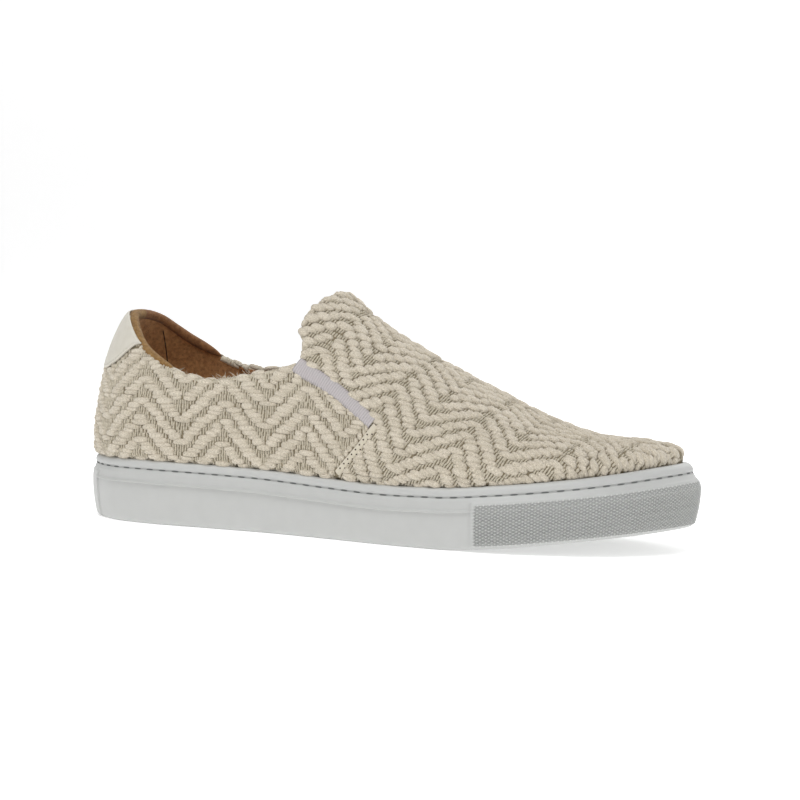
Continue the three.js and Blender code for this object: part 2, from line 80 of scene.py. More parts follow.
# Sections from the heel's back to the toe's tip, as shares of the sizes above
SECTION_COLUMNS = (
    "fore", "outer_x", "outer_y", "inner_x", "inner_y", "top_x", "top_half", "top_y", "rise", "round",
    "side", "spring", "lift", "lean", "swell",
)
SECTIONS = np.array([
    [0.00, 0.000, 0.000, 0.000, 0.000, 0.111, 0.000, 0.000, 0.98, 2.0, 1.000, 0.000, 1.00, 0.00, 1.00],
    [0.00, 0.020, 0.245, 0.020, 0.245, 0.116, 0.050, 0.000, 0.98, 2.0, 1.000, 0.000, 1.00, 0.00, 1.00],
    [0.00, 0.075, 0.428, 0.075, 0.428, 0.138, 0.100, 0.000, 0.99, 2.0, 0.998, 0.000, 1.00, 0.00, 0.92],
    [0.00, 0.154, 0.500, 0.154, 0.493, 0.180, 0.140, 0.000, 1.00, 2.0, 1.000, 0.000, 0.98, 0.00, 0.78],
    [0.10, 0.252, 0.486, 0.252, 0.465, 0.255, 0.150, 0.000, 1.02, 2.0, 0.990, 0.000, 0.82, 0.00, 0.68],
    [0.35, 0.349, 0.454, 0.349, 0.420, 0.345, 0.110, 0.004, 1.10, 2.0, 0.970, 0.000, 0.52, 0.00, 0.64],
    [0.65, 0.450, 0.453, 0.450, 0.414, 0.423, 0.030, 0.008, 1.00, 2.0, 0.925, 0.000, 0.22, 0.00, 0.62],
    [0.90, 0.550, 0.472, 0.550, 0.447, 0.493, 0.000, 0.012, 0.756, 2.0, 0.895, 0.000, 0.05, 0.00, 0.62],
    [1.00, 0.651, 0.483, 0.651, 0.491, 0.581, 0.000, 0.022, 0.526, 2.0, 0.915, 0.000, 0.00, 0.00, 0.60],
    [1.00, 0.745, 0.467, 0.742, 0.510, 0.665, 0.000, 0.034, 0.333, 2.05, 0.927, 0.195, 0.00, 0.10, 0.50],
    [1.00, 0.832, 0.405, 0.830, 0.482, 0.742, 0.000, 0.048, 0.159, 2.15, 0.922, 0.470, 0.00, 0.35, 0.30],
    [1.00, 0.908, 0.302, 0.912, 0.411, 0.809, 0.000, 0.066, 0.047, 2.2, 0.928, 0.726, 0.00, 0.70, 0.10],
    [1.00, 0.968, 0.127, 0.971, 0.288, 0.858, 0.000, 0.084, 0.008, 2.2, 0.950, 0.912, 0.00, 0.95, 0.00],
    [1.00, 1.000, -0.085, 1.000, 0.085, 0.880, 0.000, 0.092, 0.000, 2.2, 0.960, 1.000, 0.00, 1.00, 0.00],
])
LAST_ROW = len(SECTIONS) - 1
AROUND = 2 * LAST_ROW
RIDGE_ANGLE = math.pi / 2
SIDES = ("outer", "inner")

# Side-view lines: share of the length, then share of the way from the collar's low point to its top
COLLAR = {
    "outer": [
        (0.030, 1.000), (0.055, 1.000), (0.074, 0.890), (0.094, 0.690), (0.118, 0.465), (0.150, 0.265),
        (0.188, 0.105), (0.225, 0.015), (0.255, 0.002), (0.312, 0.110), (0.356, 0.205), (0.392, 0.300),
    ],
    "inner": [
        (0.030, 1.000), (0.055, 1.000), (0.074, 0.920), (0.094, 0.750), (0.118, 0.575), (0.150, 0.400),
        (0.188, 0.215), (0.225, 0.130), (0.255, 0.115), (0.312, 0.170), (0.356, 0.245), (0.392, 0.320),
    ],
}
TAB_EDGE = [
    (-0.030, 0.180), (0.018, 0.110), (0.036, 0.030), (0.065, 0.150), (0.091, 0.342), (0.108, 0.457),
    (0.140, 0.546),
]
# Side-view lines as shares of the length and of the instep's height
TONGUE_EDGE = [
    (0.3950, 0.745), (0.3940, 0.795), (0.3865, 0.838), (0.3910, 0.900), (0.4020, 0.955), (0.4170, 1.000),
    (0.4310, 1.080),
]
GORE_LINE = [(0.372, 0.760), (0.397, 0.694), (0.458, 0.614), (0.529, 0.492)]
SEAM_LINE = [(0.5345, 0.463), (0.5130, 0.384), (0.4790, 0.278)]
GORE_WIDTH = 4.0


# Splines and the tables


def catmull(a, b, c, d, f):
    cubic = -a + 3 * b - 3 * c + d
    square = 2 * a - 5 * b + 4 * c - d
    return 0.5 * (2 * b + (c - a) * f + square * f * f + cubic * f * f * f)


def column(name, row):
    """A column of the table at any distance along the rows, mirrored past both ends."""
    values = SECTIONS[:, SECTION_COLUMNS.index(name)]
    row = np.asarray(row, float)
    k = np.floor(row).astype(int)

    def at(i):
        return values[LAST_ROW - np.abs(LAST_ROW - np.abs(i))]

    return catmull(at(k - 1), at(k), at(k + 1), at(k + 2), row - k)


def side_loop():
    """The widest line's own points, from the heel along the outer side to the toe and back."""
    share = {name: SECTIONS[:, i] for i, name in enumerate(SECTION_COLUMNS)}
    width = HEEL_WIDTH + (BALL_WIDTH - HEEL_WIDTH) * share["fore"]
    outer = np.stack([share["outer_x"] * LENGTH, -share["outer_y"] * width], 1)
    inner = np.stack([share["inner_x"] * LENGTH, share["inner_y"] * width], 1)
    return np.concatenate([outer, inner[-2:0:-1]])


LOOP = side_loop()


def outline_point(s):
    s = np.asarray(s, float)
    k = np.floor(s).astype(int)
    f = (s - k)[..., None]
    return catmull(*(LOOP[(k + i) % AROUND] for i in (-1, 0, 1, 2)), f)


def outline(s, inset):
    """A line in plan, moved in from the widest line."""
    s = np.asarray(s, float)
    small = 0.01
    along = outline_point(s + small) - outline_point(s - small)
    along /= np.linalg.norm(along, axis=-1, keepdims=True)
    inward = np.stack([-along[..., 1], along[..., 0]], -1)
    return outline_point(s) + inward * np.asarray(inset, float)[..., None]


def station(row, side):
    return row if side == "outer" else AROUND - row


def row_of(s):
    wrapped = np.mod(s, AROUND)
    return np.minimum(wrapped, AROUND - wrapped)


def side_sign(s):
    """-1 on the outer side, 1 on the inner side."""
    return np.where(np.mod(s, AROUND) > LAST_ROW, 1.0, -1.0)


def ground_at(s):
    return TOE_SPRING * np.maximum(0, column("spring", row_of(s)))


def rim_at(s):
    return ground_at(s) + SIDE_HEIGHT * column("side", row_of(s))


def floor_at(s):
    lift = np.clip(column("lift", row_of(s)), 0, 1)
    return ground_at(s) + FORE_FLOOR + (HEEL_FLOOR - FORE_FLOOR) * lift


def rim_inset_at(s):
    return RIM_INSET + TOE_LEAN * np.clip(column("lean", row_of(s)), 0, 1)


def sleeve_inset_at(s):
    return rim_inset_at(s) + CUP_WALL + FIT


def foot_inset_at(s):
    return sleeve_inset_at(s) - OVERHANG * np.clip(column("swell", row_of(s)), 0, 1)


# The last's form


def ridge_line():
    rows = np.linspace(0, LAST_ROW, 400)
    x = column("top_x", rows) * LENGTH
    z = TOE_HEIGHT + (INSTEP_HEIGHT - TOE_HEIGHT) * column("rise", rows)
    return x, z


RIDGE_X, RIDGE_Z = ridge_line()


def top_half_at(row):
    """Half the width of the level strip on top, which narrows to a ridge in front of the ankle."""
    row = np.asarray(row, float)
    k = np.floor(row).astype(int)
    values = SECTIONS[:, SECTION_COLUMNS.index("top_half")] * HEEL_WIDTH

    def at(i):
        return np.where(i < 0, -1.0, 1.0) * values[LAST_ROW - np.abs(LAST_ROW - np.abs(i))]

    return np.maximum(0, catmull(at(k - 1), at(k), at(k + 1), at(k + 2), row - k))


def top_point(s):
    row = row_of(s)
    x = column("top_x", row) * LENGTH
    y = column("top_y", row) * BALL_WIDTH + side_sign(s) * top_half_at(row)
    return np.stack([x, y], -1)


def skin(s, angle):
    """The cloth's face. Angle 0 is the widest line over the rim and RIDGE_ANGLE the ridge. From 0 to -1
    the cloth turns in under its own bulge to the rim, and below -1 it goes straight down into the cup."""
    s, angle = np.broadcast_arrays(np.asarray(s, float), np.asarray(angle, float))
    bulge = np.clip(angle, -1, 0)
    share = np.sqrt(np.clip(1 - bulge ** 2, 0, 1))
    foot = outline(s, sleeve_inset_at(s) + (foot_inset_at(s) - sleeve_inset_at(s)) * share)
    up_angle = np.clip(angle, 0, RIDGE_ANGLE)
    power = 2 / column("round", row_of(s))
    across = 1 - np.clip(np.cos(up_angle), 0, 1) ** power
    up = np.clip(np.sin(up_angle), 0, 1) ** power
    top = top_point(s)
    plan = foot + (top - foot) * across[..., None]
    foot_z = rim_at(s) + FIT + SHOULDER
    ridge_z = np.interp(plan[..., 0], RIDGE_X, RIDGE_Z)
    z = foot_z + (ridge_z - foot_z) * up + SHOULDER * bulge + SHOULDER * np.minimum(0, angle + 1)
    return np.concatenate([plan, z[..., None]], -1)


def skin_slopes(s, angle, small=0.01):
    along = skin(s + small, angle) - skin(s - small, angle)
    low = np.minimum(np.asarray(angle, float), RIDGE_ANGLE - 2 * small)
    up = skin(s, low + small) - skin(s, low - small)
    return along / (2 * small), up / (2 * small)


def skin_normal(s, angle):
    s, angle = np.broadcast_arrays(np.asarray(s, float), np.asarray(angle, float))
    along, up = skin_slopes(s, angle)
    made = np.cross(along, up)
    made /= np.linalg.norm(made, axis=-1, keepdims=True) + 1e-12
    on_ridge = (angle > RIDGE_ANGLE - 0.03) & (top_half_at(row_of(s)) < 0.05)
    if on_ridge.any():
        along, up = skin_slopes(AROUND - s, angle)
        other = np.cross(along, up)
        other /= np.linalg.norm(other, axis=-1, keepdims=True) + 1e-12
        both = made + other
        both /= np.linalg.norm(both, axis=-1, keepdims=True) + 1e-12
        made = np.where(on_ridge[..., None], both, made)
    return made


def pad_at(s, angle):
    """Extra thickness of the padded collar round the heel."""
    share = np.clip((angle - 0.5) / 0.5, 0, 1)
    heel = 1 - np.clip((row_of(s) - 3) / 3, 0, 1)
    ease = share * share * (3 - 2 * share) * heel * heel * (3 - 2 * heel)
    return COLLAR_PAD * ease


def unit(vectors):
    return vectors / (np.linalg.norm(vectors, axis=-1, keepdims=True) + 1e-12)


def raised(s, angle, out):
    """Places this far out of the cloth's face."""
    return skin(s, angle) + skin_normal(s, angle) * np.asarray(out, float)[..., None]


def run_along(line):
    """Distance run along a line up to each of its points."""
    return np.concatenate([[0], np.cumsum(np.linalg.norm(np.diff(line, axis=0), axis=1))])


def along_line(line, at):
    """Points of a line at these distances run along it."""
    run = run_along(line)
    return np.stack([np.interp(at, run, values) for values in line.T], -1)


# Side-view lines as smooth curves


def smooth_line(points, steps=12):
    """A spline through side-view points, extended by mirroring at both ends."""
    p = np.array(points, float)
    p = np.vstack([2 * p[0] - p[1], p, 2 * p[-1] - p[-2]])
    f = np.linspace(0, 1, steps, endpoint=False)[:, None]
    parts = [catmull(p[i], p[i + 1], p[i + 2], p[i + 3], f) for i in range(len(p) - 3)]
    return np.vstack([*parts, p[-2:-1]])


def from_collar(points):
    return [(x * LENGTH, COLLAR_LOW + (HEEL_TOP - COLLAR_LOW) * up) for x, up in points]


def from_instep(points):
    return [(x * LENGTH, up * INSTEP_HEIGHT) for x, up in points]


collar_line = {side: smooth_line(from_collar(points)) for side, points in COLLAR.items()}
tongue_line = smooth_line(from_instep(TONGUE_EDGE))
gore_line = smooth_line(from_instep(GORE_LINE))
seam_line = smooth_line(from_instep(SEAM_LINE))
tab_line = smooth_line(from_collar(TAB_EDGE))


def on_side(points, side, tries=25):
    """Stations and angles of side-view points on one side of the cloth."""
    target = np.array(points, float)
    sign = 1 if side == "inner" else -1
    foot = outline_point(np.linspace(0.3, LAST_ROW - 0.1, 200))
    row = np.interp(target[:, 0], foot[:, 0], np.linspace(0.3, LAST_ROW - 0.1, 200))
    angle = np.clip((target[:, 1] - 34) / 60, 0.05, 1.2)

    def place(row, angle):
        s = np.where(sign < 0, row, AROUND - row)
        return skin(s, angle)[..., [0, 2]]

    small = 1e-3
    for _ in range(tries):
        miss = place(row, angle) - target
        by_row = (place(row + small, angle) - place(row - small, angle)) / (2 * small)
        by_angle = (place(row, angle + small) - place(row, angle - small)) / (2 * small)
        det = by_row[:, 0] * by_angle[:, 1] - by_row[:, 1] * by_angle[:, 0]
        det = np.where(np.abs(det) < 1e-6, 1e-6, det)
        step_row = (miss[:, 0] * by_angle[:, 1] - miss[:, 1] * by_angle[:, 0]) / det
        step_angle = (by_row[:, 0] * miss[:, 1] - by_row[:, 1] * miss[:, 0]) / det
        row = np.clip(row - np.clip(step_row, -0.5, 0.5), 0.02, LAST_ROW)
        angle = np.clip(angle - np.clip(step_angle, -0.2, 0.2), -1, RIDGE_ANGLE - 0.002)
    return np.where(sign < 0, row, AROUND - row), angle


def solve(miss, low, high, shape, steps=45):
    """Where miss grows through nought between low and high, for arrays of places."""
    low = np.full(shape, float(low))
    high = np.full(shape, float(high))
    for _ in range(steps):
        middle = (low + high) / 2
        below = miss(middle) < 0
        low = np.where(below, middle, low)
        high = np.where(below, high, middle)
    return (low + high) / 2


def angle_on(line, s):
    """Angle at which the section at s meets a side-view line that runs along the shoe."""
    s = np.asarray(s, float)

    def miss(angle):
        place = skin(s, angle)
        return place[..., 2] - np.interp(place[..., 0], line[:, 0], line[:, 1])

    return solve(miss, -1.0, RIDGE_ANGLE, s.shape)


def row_on(line, angle, side):
    """Row at which a steep side-view line, its points in rising order, meets this angle."""
    angle = np.asarray(angle, float)

    def miss(row):
        place = skin(station(row, side), angle)
        return place[..., 0] - np.interp(place[..., 2], line[:, 1], line[:, 0])

    return solve(miss, 3.0, LAST_ROW - 1.0, angle.shape)


# Regions of the cloth in side view

FOLD = 1.6  # radius of the folded edge along the collar and the tongue
FLOAT_HIGH = 1.3
EDGE_DROP = FOLD + 0.8 * FLOAT_HIGH  # the fold and its floats reach up to the collar's line
GORE_END_X, GORE_END_Z = gore_line[-1]

cloth_collar = {side: line - [0, EDGE_DROP] for side, line in collar_line.items()}
cloth_tongue = tongue_line + [EDGE_DROP, 0]


def interp(line, x):
    return np.interp(x, line[:, 0], line[:, 1])


def seam_x(z):
    rising = seam_line[::-1]
    return np.interp(z, rising[:, 1], rising[:, 0])


def across_gore(x, z):
    """Distance above the middle of the elastic, in side view."""
    slope = (interp(gore_line, x + 1) - interp(gore_line, x - 1)) / 2
    return (z - interp(gore_line, x)) / np.sqrt(1 + slope ** 2)


def across_seam(x, z):
    """Distance in front of the middle of the seam, in side view."""
    slope = (seam_x(z + 1) - seam_x(z - 1)) / 2
    return (x - seam_x(z)) / np.sqrt(1 + slope ** 2)


# How far the elastic shows above and below its middle line, at its top and at its low end
GORE_ABOVE = (3.6, 1.9)
GORE_BELOW = (2.5, 1.6)
GORE_TOP_X = 108.0
GORE_GAP = 0.2  # the weave ends this far from the elastic
QUARTER_TO_SEAM = 1.7  # and this far behind and before the seam's middle line
VAMP_TO_SEAM = 1.0
TAB_GAP = 0.3
TAB_END_X = 42
NO_LIMIT = 9.0


def gore_reach(x, reach):
    share = np.clip((x - GORE_TOP_X) / (GORE_END_X - GORE_TOP_X), 0, 1)
    return reach[0] + (reach[1] - reach[0]) * share


def on_quarter(x, z):
    """How far inside the quarter's woven part a side-view place lies, apart from its collar."""
    gore = -across_gore(x, z) - gore_reach(x, GORE_BELOW) - GORE_GAP
    seam = np.where(z < GORE_END_Z, -across_seam(x, z) - QUARTER_TO_SEAM, NO_LIMIT)
    front = GORE_END_X + 2 - x
    tab = np.where(x < TAB_END_X, interp(tab_line, x) - z - TAB_GAP, NO_LIMIT)
    return np.minimum(np.minimum(gore, seam), np.minimum(front, tab))


def on_vamp(x, z):
    """How far inside the vamp's woven part a side-view place lies, apart from the tongue's edge."""
    above = across_gore(x, z) - gore_reach(x, GORE_ABOVE) - GORE_GAP
    gore = np.where((x < GORE_END_X - 1) & (z > GORE_END_Z - 4), above, NO_LIMIT)
    seam = np.where(z < GORE_END_Z, across_seam(x, z) - VAMP_TO_SEAM, NO_LIMIT)
    return np.minimum(gore, seam)


# Charts: millimetres on the cloth to stations and angles of the last


class Chart:
    """A table of (s, angle) over even steps of u and v, read in between by straight lines."""

    def __init__(self, u, v, s, angle, start=None):
        self.u, self.v, self.s, self.angle = u, v, s, angle
        self.start = np.full(len(u), v[0]) if start is None else start

    def at(self, u, v):
        fu = np.clip((u - self.u[0]) / (self.u[1] - self.u[0]), 0, len(self.u) - 1.001)
        fv = np.clip((v - self.v[0]) / (self.v[1] - self.v[0]), 0, len(self.v) - 1.001)
        i, j = fu.astype(int), fv.astype(int)
        fu, fv = fu - i, fv - j

        def read(table):
            low = table[i, j] * (1 - fu) + table[i + 1, j] * fu
            high = table[i, j + 1] * (1 - fu) + table[i + 1, j + 1] * fu
            return low * (1 - fv) + high * fv

        return read(self.s), read(self.angle)


LOWEST_ANGLE = -1.6  # the cloth is followed this far down behind the cup's rim
MID_ANGLE = 0.5  # height of the line along which the quarter's cloth keeps its length
CHART_STEP = 1.0


def quarter_chart(rows=7.6):
    """u runs from the heel's back, positive on the outer side, and v up from the rim."""
    s = np.linspace(-rows, rows, 800)
    line = skin(s, np.full_like(s, MID_ANGLE))
    run = run_along(line)
    run -= np.interp(0, s, run)
    u = np.arange(math.ceil(run[0]), math.floor(run[-1]), CHART_STEP)
    s_at = np.interp(u, run, s)
    angle = np.linspace(LOWEST_ANGLE, RIDGE_ANGLE, 320)
    sections = skin(s_at[:, None], angle[None, :])
    climb = np.linalg.norm(np.diff(sections, axis=1), axis=2)
    climb = np.concatenate([np.zeros((len(u), 1)), np.cumsum(climb, axis=1)], 1)
    climb -= np.stack([np.interp(-1, angle, row) for row in climb])[:, None]
    v = np.arange(-2, 90, CHART_STEP)
    angles = np.stack([np.interp(v, row, angle) for row in climb])
    return Chart(u, v, np.repeat(s_at[:, None], len(v), 1), angles)


VAMP_FIRST_ROW = 4.3
RIDGE_GAP = 0.005  # angle between the ridge and the top of the vamp's charts
STEP_LIMIT = 0.3
VAMP_REACH = 140
VAMP_RISE = 40  # how far the toe's rows start above those of the instep
WEFT_FALL = math.radians(30.0)  # the vamp's rows fall towards the toe at this slope, in side view
WEFT_WAY = np.array([math.cos(WEFT_FALL), 0.0, -math.sin(WEFT_FALL)])
WARP_WAY = np.array([-math.sin(WEFT_FALL), 0.0, -math.cos(WEFT_FALL)])


def vamp_chart(side):
    """u runs along the falling rows, v down and back over the cloth from the instep's ridge."""
    sign = 1 if side == "outer" else -1
    near_top = RIDGE_ANGLE - RIDGE_GAP
    ridge_s = np.linspace(VAMP_FIRST_ROW, LAST_ROW, 500)
    front_angle = np.linspace(near_top, LOWEST_ANGLE, 200)[1:]
    s = np.concatenate([ridge_s, np.full_like(front_angle, LAST_ROW)])
    angle = np.concatenate([np.full_like(ridge_s, near_top), front_angle])
    path = skin(s, np.concatenate([np.full_like(ridge_s, RIDGE_ANGLE), front_angle]))
    run = np.maximum.accumulate(path @ WEFT_WAY)
    u = np.arange(math.ceil(run[0]), math.ceil(run[-1]) + 1, CHART_STEP)
    s, angle = np.interp(u, run, s), np.interp(u, run, angle)
    start = np.interp(u, run, path @ WARP_WAY)
    s = s if sign > 0 else AROUND - s
    table_s, table_angle = [s], [angle]
    for _ in range(VAMP_REACH):
        by_s, by_angle = skin_slopes(s, angle)
        heading = unit(np.cross(WEFT_WAY, skin_normal(s, angle))) * sign
        ss, sa, aa = ((a * b).sum(1) for a, b in ((by_s, by_s), (by_s, by_angle), (by_angle, by_angle)))
        hs = (by_s * heading).sum(1) * CHART_STEP
        ha = (by_angle * heading).sum(1) * CHART_STEP
        det = ss * aa - sa * sa + 1e-9
        s = s + np.clip((hs * aa - ha * sa) / det, -STEP_LIMIT, STEP_LIMIT)
        angle = angle + np.clip((ss * ha - sa * hs) / det, -STEP_LIMIT, STEP_LIMIT)
        angle = np.clip(angle, LOWEST_ANGLE, near_top)
        table_s.append(s)
        table_angle.append(angle)
    steps = np.arange(VAMP_REACH + 1) * CHART_STEP
    top = float(start[:20].mean())
    v = np.arange(-VAMP_RISE, VAMP_REACH - VAMP_RISE) * CHART_STEP
    start = start - top
    even_s, even_angle = (
        np.stack([np.interp(v, steps + low, row) for low, row in zip(start, np.stack(table, 1))])
        for table in (table_s, table_angle)
    )
    return Chart(u, v, even_s, even_angle, start)


def turned_over(edge, out_way, beyond, out):
    """Places beyond an edge, led round a fold of radius FOLD; edge is (point, normal) on the cloth."""
    point, normal = edge
    turn = beyond[..., None] / FOLD
    middle = point - normal * FOLD
    return middle + (normal * np.cos(turn) + out_way * np.sin(turn)) * (FOLD + out[..., None])


def quarter_place(s, angle, out):
    """Places on the quarter's face, folded over at the collar."""
    made = raised(s, angle, out)
    edge_table_s = np.linspace(-8, 8, 400)
    outer = angle_on(cloth_collar["outer"], edge_table_s)
    inner = angle_on(cloth_collar["inner"], edge_table_s)
    edge_angle = np.interp(s, edge_table_s, np.where(edge_table_s > 0, outer, inner))
    point = skin(s, edge_angle)
    way = unit(skin_slopes(s, edge_angle)[1])
    beyond = np.linalg.norm(skin(s, angle) - point, axis=-1)
    folded = turned_over((point, skin_normal(s, edge_angle)), way, beyond, out)
    past = angle > edge_angle
    return np.where(past[..., None], folded, made), np.where(past, beyond, 0)


def tongue_rows():
    angle = np.linspace(0.4, RIDGE_ANGLE - 0.01, 160)
    return angle, {side: row_on(cloth_tongue, angle, side) for side in SIDES}


TONGUE_ANGLES, TONGUE_ROWS = tongue_rows()


def vamp_place(s, angle, out):
    """Places on the vamp's face, folded over at the tongue's edge."""
    flat = skin(s, angle)
    made = raised(s, angle, out)
    inner = side_sign(s) > 0
    edge_outer, edge_inner = (np.interp(angle, TONGUE_ANGLES, TONGUE_ROWS[side]) for side in SIDES)
    edge_row = np.where(inner, edge_inner, edge_outer)
    past = (row_of(s) < edge_row) & (angle > TONGUE_ANGLES[0])
    edge_s = np.where(inner, AROUND - edge_row, edge_row)
    point = skin(edge_s, angle)
    way = unit(skin_slopes(edge_s, angle)[0]) * np.where(inner, 1.0, -1.0)[..., None]
    beyond = np.linalg.norm(flat - point, axis=-1)
    folded = turned_over((point, skin_normal(edge_s, angle)), way, beyond, out)
    return np.where(past[..., None], folded, made), np.where(past, beyond, 0)


# Meshes


def to_row(points):
    """Millimetres in the shoe's frame to metres in the row's frame."""
    return (np.asarray(points, float) + SHIFT) * MM


def plain_object(bm, name):
    mesh = bpy.data.meshes.new(name)
    bm.to_mesh(mesh)
    bm.free()
    made = bpy.data.objects.new(name, mesh)
    bpy.context.scene.collection.objects.link(made)
    return made


def finish_piece(bm, name, material, slot, smooth=True):
    made = plain_object(bm, name)
    made.data.materials.append(material)
    if smooth:
        made.data.shade_smooth()
    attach(made, "root")
    return made


def thickened(piece, thickness, offset=-1):
    step = piece.modifiers.new("thickness", "SOLIDIFY")
    step.thickness = thickness * MM
    step.offset = offset


def sheet_of(points, uv=None, flip=False):
    """A bmesh sheet through points[v][u], started from a grid."""
    rows, count = points.shape[:2]
    bm = bmesh.new()
    bmesh.ops.create_grid(bm, x_segments=count - 1, y_segments=rows - 1, size=1)
    bm.verts.ensure_lookup_table()
    for vertex, place in zip(bm.verts, to_row(points).reshape(-1, 3)):
        vertex.co = place
    if uv is not None:
        layer = bm.loops.layers.uv.new("pattern")
        flat = uv.reshape(-1, 2)
        for face in bm.faces:
            for loop in face.loops:
                loop[layer].uv = flat[loop.vert.index]
    if flip:
        bmesh.ops.reverse_faces(bm, faces=bm.faces)
    return bm


def ring_faces(rings, around, turned):
    faces = []
    for i in range(rings - 1):
        for k in range(around):
            n = (k + 1) % around
            quad = (i * around + k, (i + 1) * around + k, (i + 1) * around + n, i * around + n)
            faces.append(quad[::-1] if turned else quad)
    return np.array(faces)


def joined(name, places, rings, around, material, slot, uv, tone, turned):
    """One mesh of many copies: places[copy, ring, k, 3] in mm, closed rings with pointed ends."""
    copies = len(places)
    block = rings * around
    template = ring_faces(rings, around, turned)
    faces = (template[None] + np.arange(copies)[:, None, None] * block).reshape(-1, 4)
    mesh = bpy.data.meshes.new(name)
    mesh.vertices.add(copies * block)
    mesh.vertices.foreach_set("co", to_row(places.reshape(-1, 3)).ravel())
    mesh.loops.add(faces.size)
    mesh.loops.foreach_set("vertex_index", faces.ravel())
    mesh.polygons.add(len(faces))
    mesh.polygons.foreach_set("loop_start", np.arange(0, faces.size, 4))
    layer = mesh.uv_layers.new(name="pattern")
    layer.data.foreach_set("uv", uv.reshape(-1, 2)[faces.ravel()].ravel())
    mesh.update(calc_edges=True)
    shade = mesh.attributes.new("tone", "FLOAT", "POINT")
    shade.data.foreach_set("value", np.repeat(tone, block))
    bm = bmesh.new()
    bm.from_mesh(mesh)
    bmesh.ops.remove_doubles(bm, verts=bm.verts, dist=2e-6)
    bpy.data.meshes.remove(mesh)
    finish_piece(bm, name, material, slot)


def tube_of(rows, nearest=1e-6):
    """A closed bmesh body: rows[i] is the section's closed ring at station i, folded flat at both ends."""
    bm = sheet_of(np.concatenate([rows, rows[:, :1]], 1))
    bmesh.ops.remove_doubles(bm, verts=bm.verts, dist=nearest)
    bmesh.ops.dissolve_degenerate(bm, edges=bm.edges, dist=nearest)
    bmesh.ops.recalc_face_normals(bm, faces=bm.faces)
    return bm


def form(out, drop=0.0, per_row=12, arc=30):
    """Closed body of the last's shape, moved out by out(s, angle) from the cloth's face."""
    row = np.linspace(0, LAST_ROW, LAST_ROW * per_row + 1)
    foot = np.stack([-1 - (rim_at(row) - floor_at(row) + drop) / SHOULDER, np.full_like(row, -1.0)], 1)
    bulge = -np.cos(np.linspace(0, math.pi / 2, 7))[1:]
    climb = np.linspace(0, RIDGE_ANGLE, arc + 1)[1:]
    upright = np.concatenate([bulge, climb])
    angle = np.concatenate([foot, np.broadcast_to(upright, (len(row), len(upright)))], 1)
    halves = []
    for s in (row, AROUND - row):
        stations_2d = np.broadcast_to(s[:, None], angle.shape)
        normal = skin_normal(stations_2d, np.maximum(angle, 0))
        halves.append(skin(stations_2d, angle) + normal * out(stations_2d, angle)[..., None])
    return tube_of(np.concatenate([halves[0], halves[1][:, ::-1]], 1))


def even(distance):
    return lambda s, angle: np.full(np.shape(angle), distance)


def lining_depth(s, angle):
    return -(WALL + pad_at(s, angle))


def prism(outline_xz, y0, y1):
    """Side-view outline, extruded straight across the shoe."""
    bm = bmesh.new()
    places = np.array([[x, y0, z] for x, z in outline_xz])
    verts = [bm.verts.new(p) for p in to_row(places)]
    face = bm.faces.new(verts)
    made = bmesh.ops.extrude_face_region(bm, geom=[face])
    moved = [g for g in made["geom"] if isinstance(g, bmesh.types.BMVert)]
    bmesh.ops.translate(bm, verts=moved, vec=Vector((0, (y1 - y0) * MM, 0)))
    bmesh.ops.recalc_face_normals(bm, faces=bm.faces)
    return bm


def cut(piece, tools):
    """Cuts bmesh bodies away at once, so that the piece keeps a plain mesh."""
    helpers = [plain_object(bm, "tool") for bm in tools]
    for tool in helpers:
        step = piece.modifiers.new("cut", "BOOLEAN")
        step.operation = "DIFFERENCE"
        step.solver = "EXACT"
        step.object = tool
    depsgraph = bpy.context.evaluated_depsgraph_get()
    made = bpy.data.meshes.new_from_object(piece.evaluated_get(depsgraph))
    old = piece.data
    piece.modifiers.clear()
    piece.data = made
    bpy.data.meshes.remove(old)
    for tool in helpers:
        mesh = tool.data
        bpy.data.objects.remove(tool)
        bpy.data.meshes.remove(mesh)
    for face in made.polygons:
        face.material_index = 0
    while len(made.materials) > 1:
        made.materials.pop()
    made.set_sharp_from_angle(angle=math.radians(40))


REACH = 150.0


def half_prism(outline_xz, side):
    """A prism through one side of the shoe."""
    return prism(outline_xz, *((-REACH, 0) if side == "outer" else (0, REACH)))


def opening_prism(side):
    """What lies over the collar and behind the tongue."""
    collar = cloth_collar[side]
    keep = collar[:, 0] < cloth_tongue[0, 0] - 0.5
    high = INSTEP_HEIGHT + REACH
    line = [(-REACH, collar[0, 1]), *collar[keep], *cloth_tongue, (cloth_tongue[-1, 0], high), (-REACH, high)]
    return half_prism(line, side)


def band_prism(line, width, side):
    along = unit(np.gradient(line, axis=0))
    normal = np.stack([-along[:, 1], along[:, 0]], 1) * width / 2
    return half_prism([*(line + normal), *(line - normal)[::-1]], side)


# Materials


def linear(hex_colour):
    parts = [int(hex_colour[i:i + 2], 16) / 255 for i in (1, 3, 5)]
    return [*(p / 12.92 if p <= 0.04045 else ((p + 0.055) / 1.055) ** 2.4 for p in parts), 1.0]


def new_material(name, colour, roughness=0.5, **shader):
    """A Principled material with its constant values on the shader's own sockets."""
    made = bpy.data.materials.new(name)
    made.use_nodes = True
    bsdf = made.node_tree.nodes["Principled BSDF"]
    bsdf.inputs["Base Color"].default_value = linear(colour)
    bsdf.inputs["Roughness"].default_value = roughness
    for key, value in shader.items():
        bsdf.inputs[key.replace("_", " ")].default_value = value
    return made


def fill(material, node, inputs):
    """Sets inputs to values, or links them where they are given as (node, output)."""
    for socket, value in inputs.items():
        if isinstance(value, tuple):
            material.node_tree.links.new(value[0].outputs[value[1]], node.inputs[socket])
        else:
            node.inputs[socket].default_value = value


def add(material, kind, inputs, **settings):
    """One node with its settings and inputs."""
    node = material.node_tree.nodes.new(kind)
    for key, value in settings.items():
        setattr(node, key, value)
    fill(material, node, inputs)
    return node


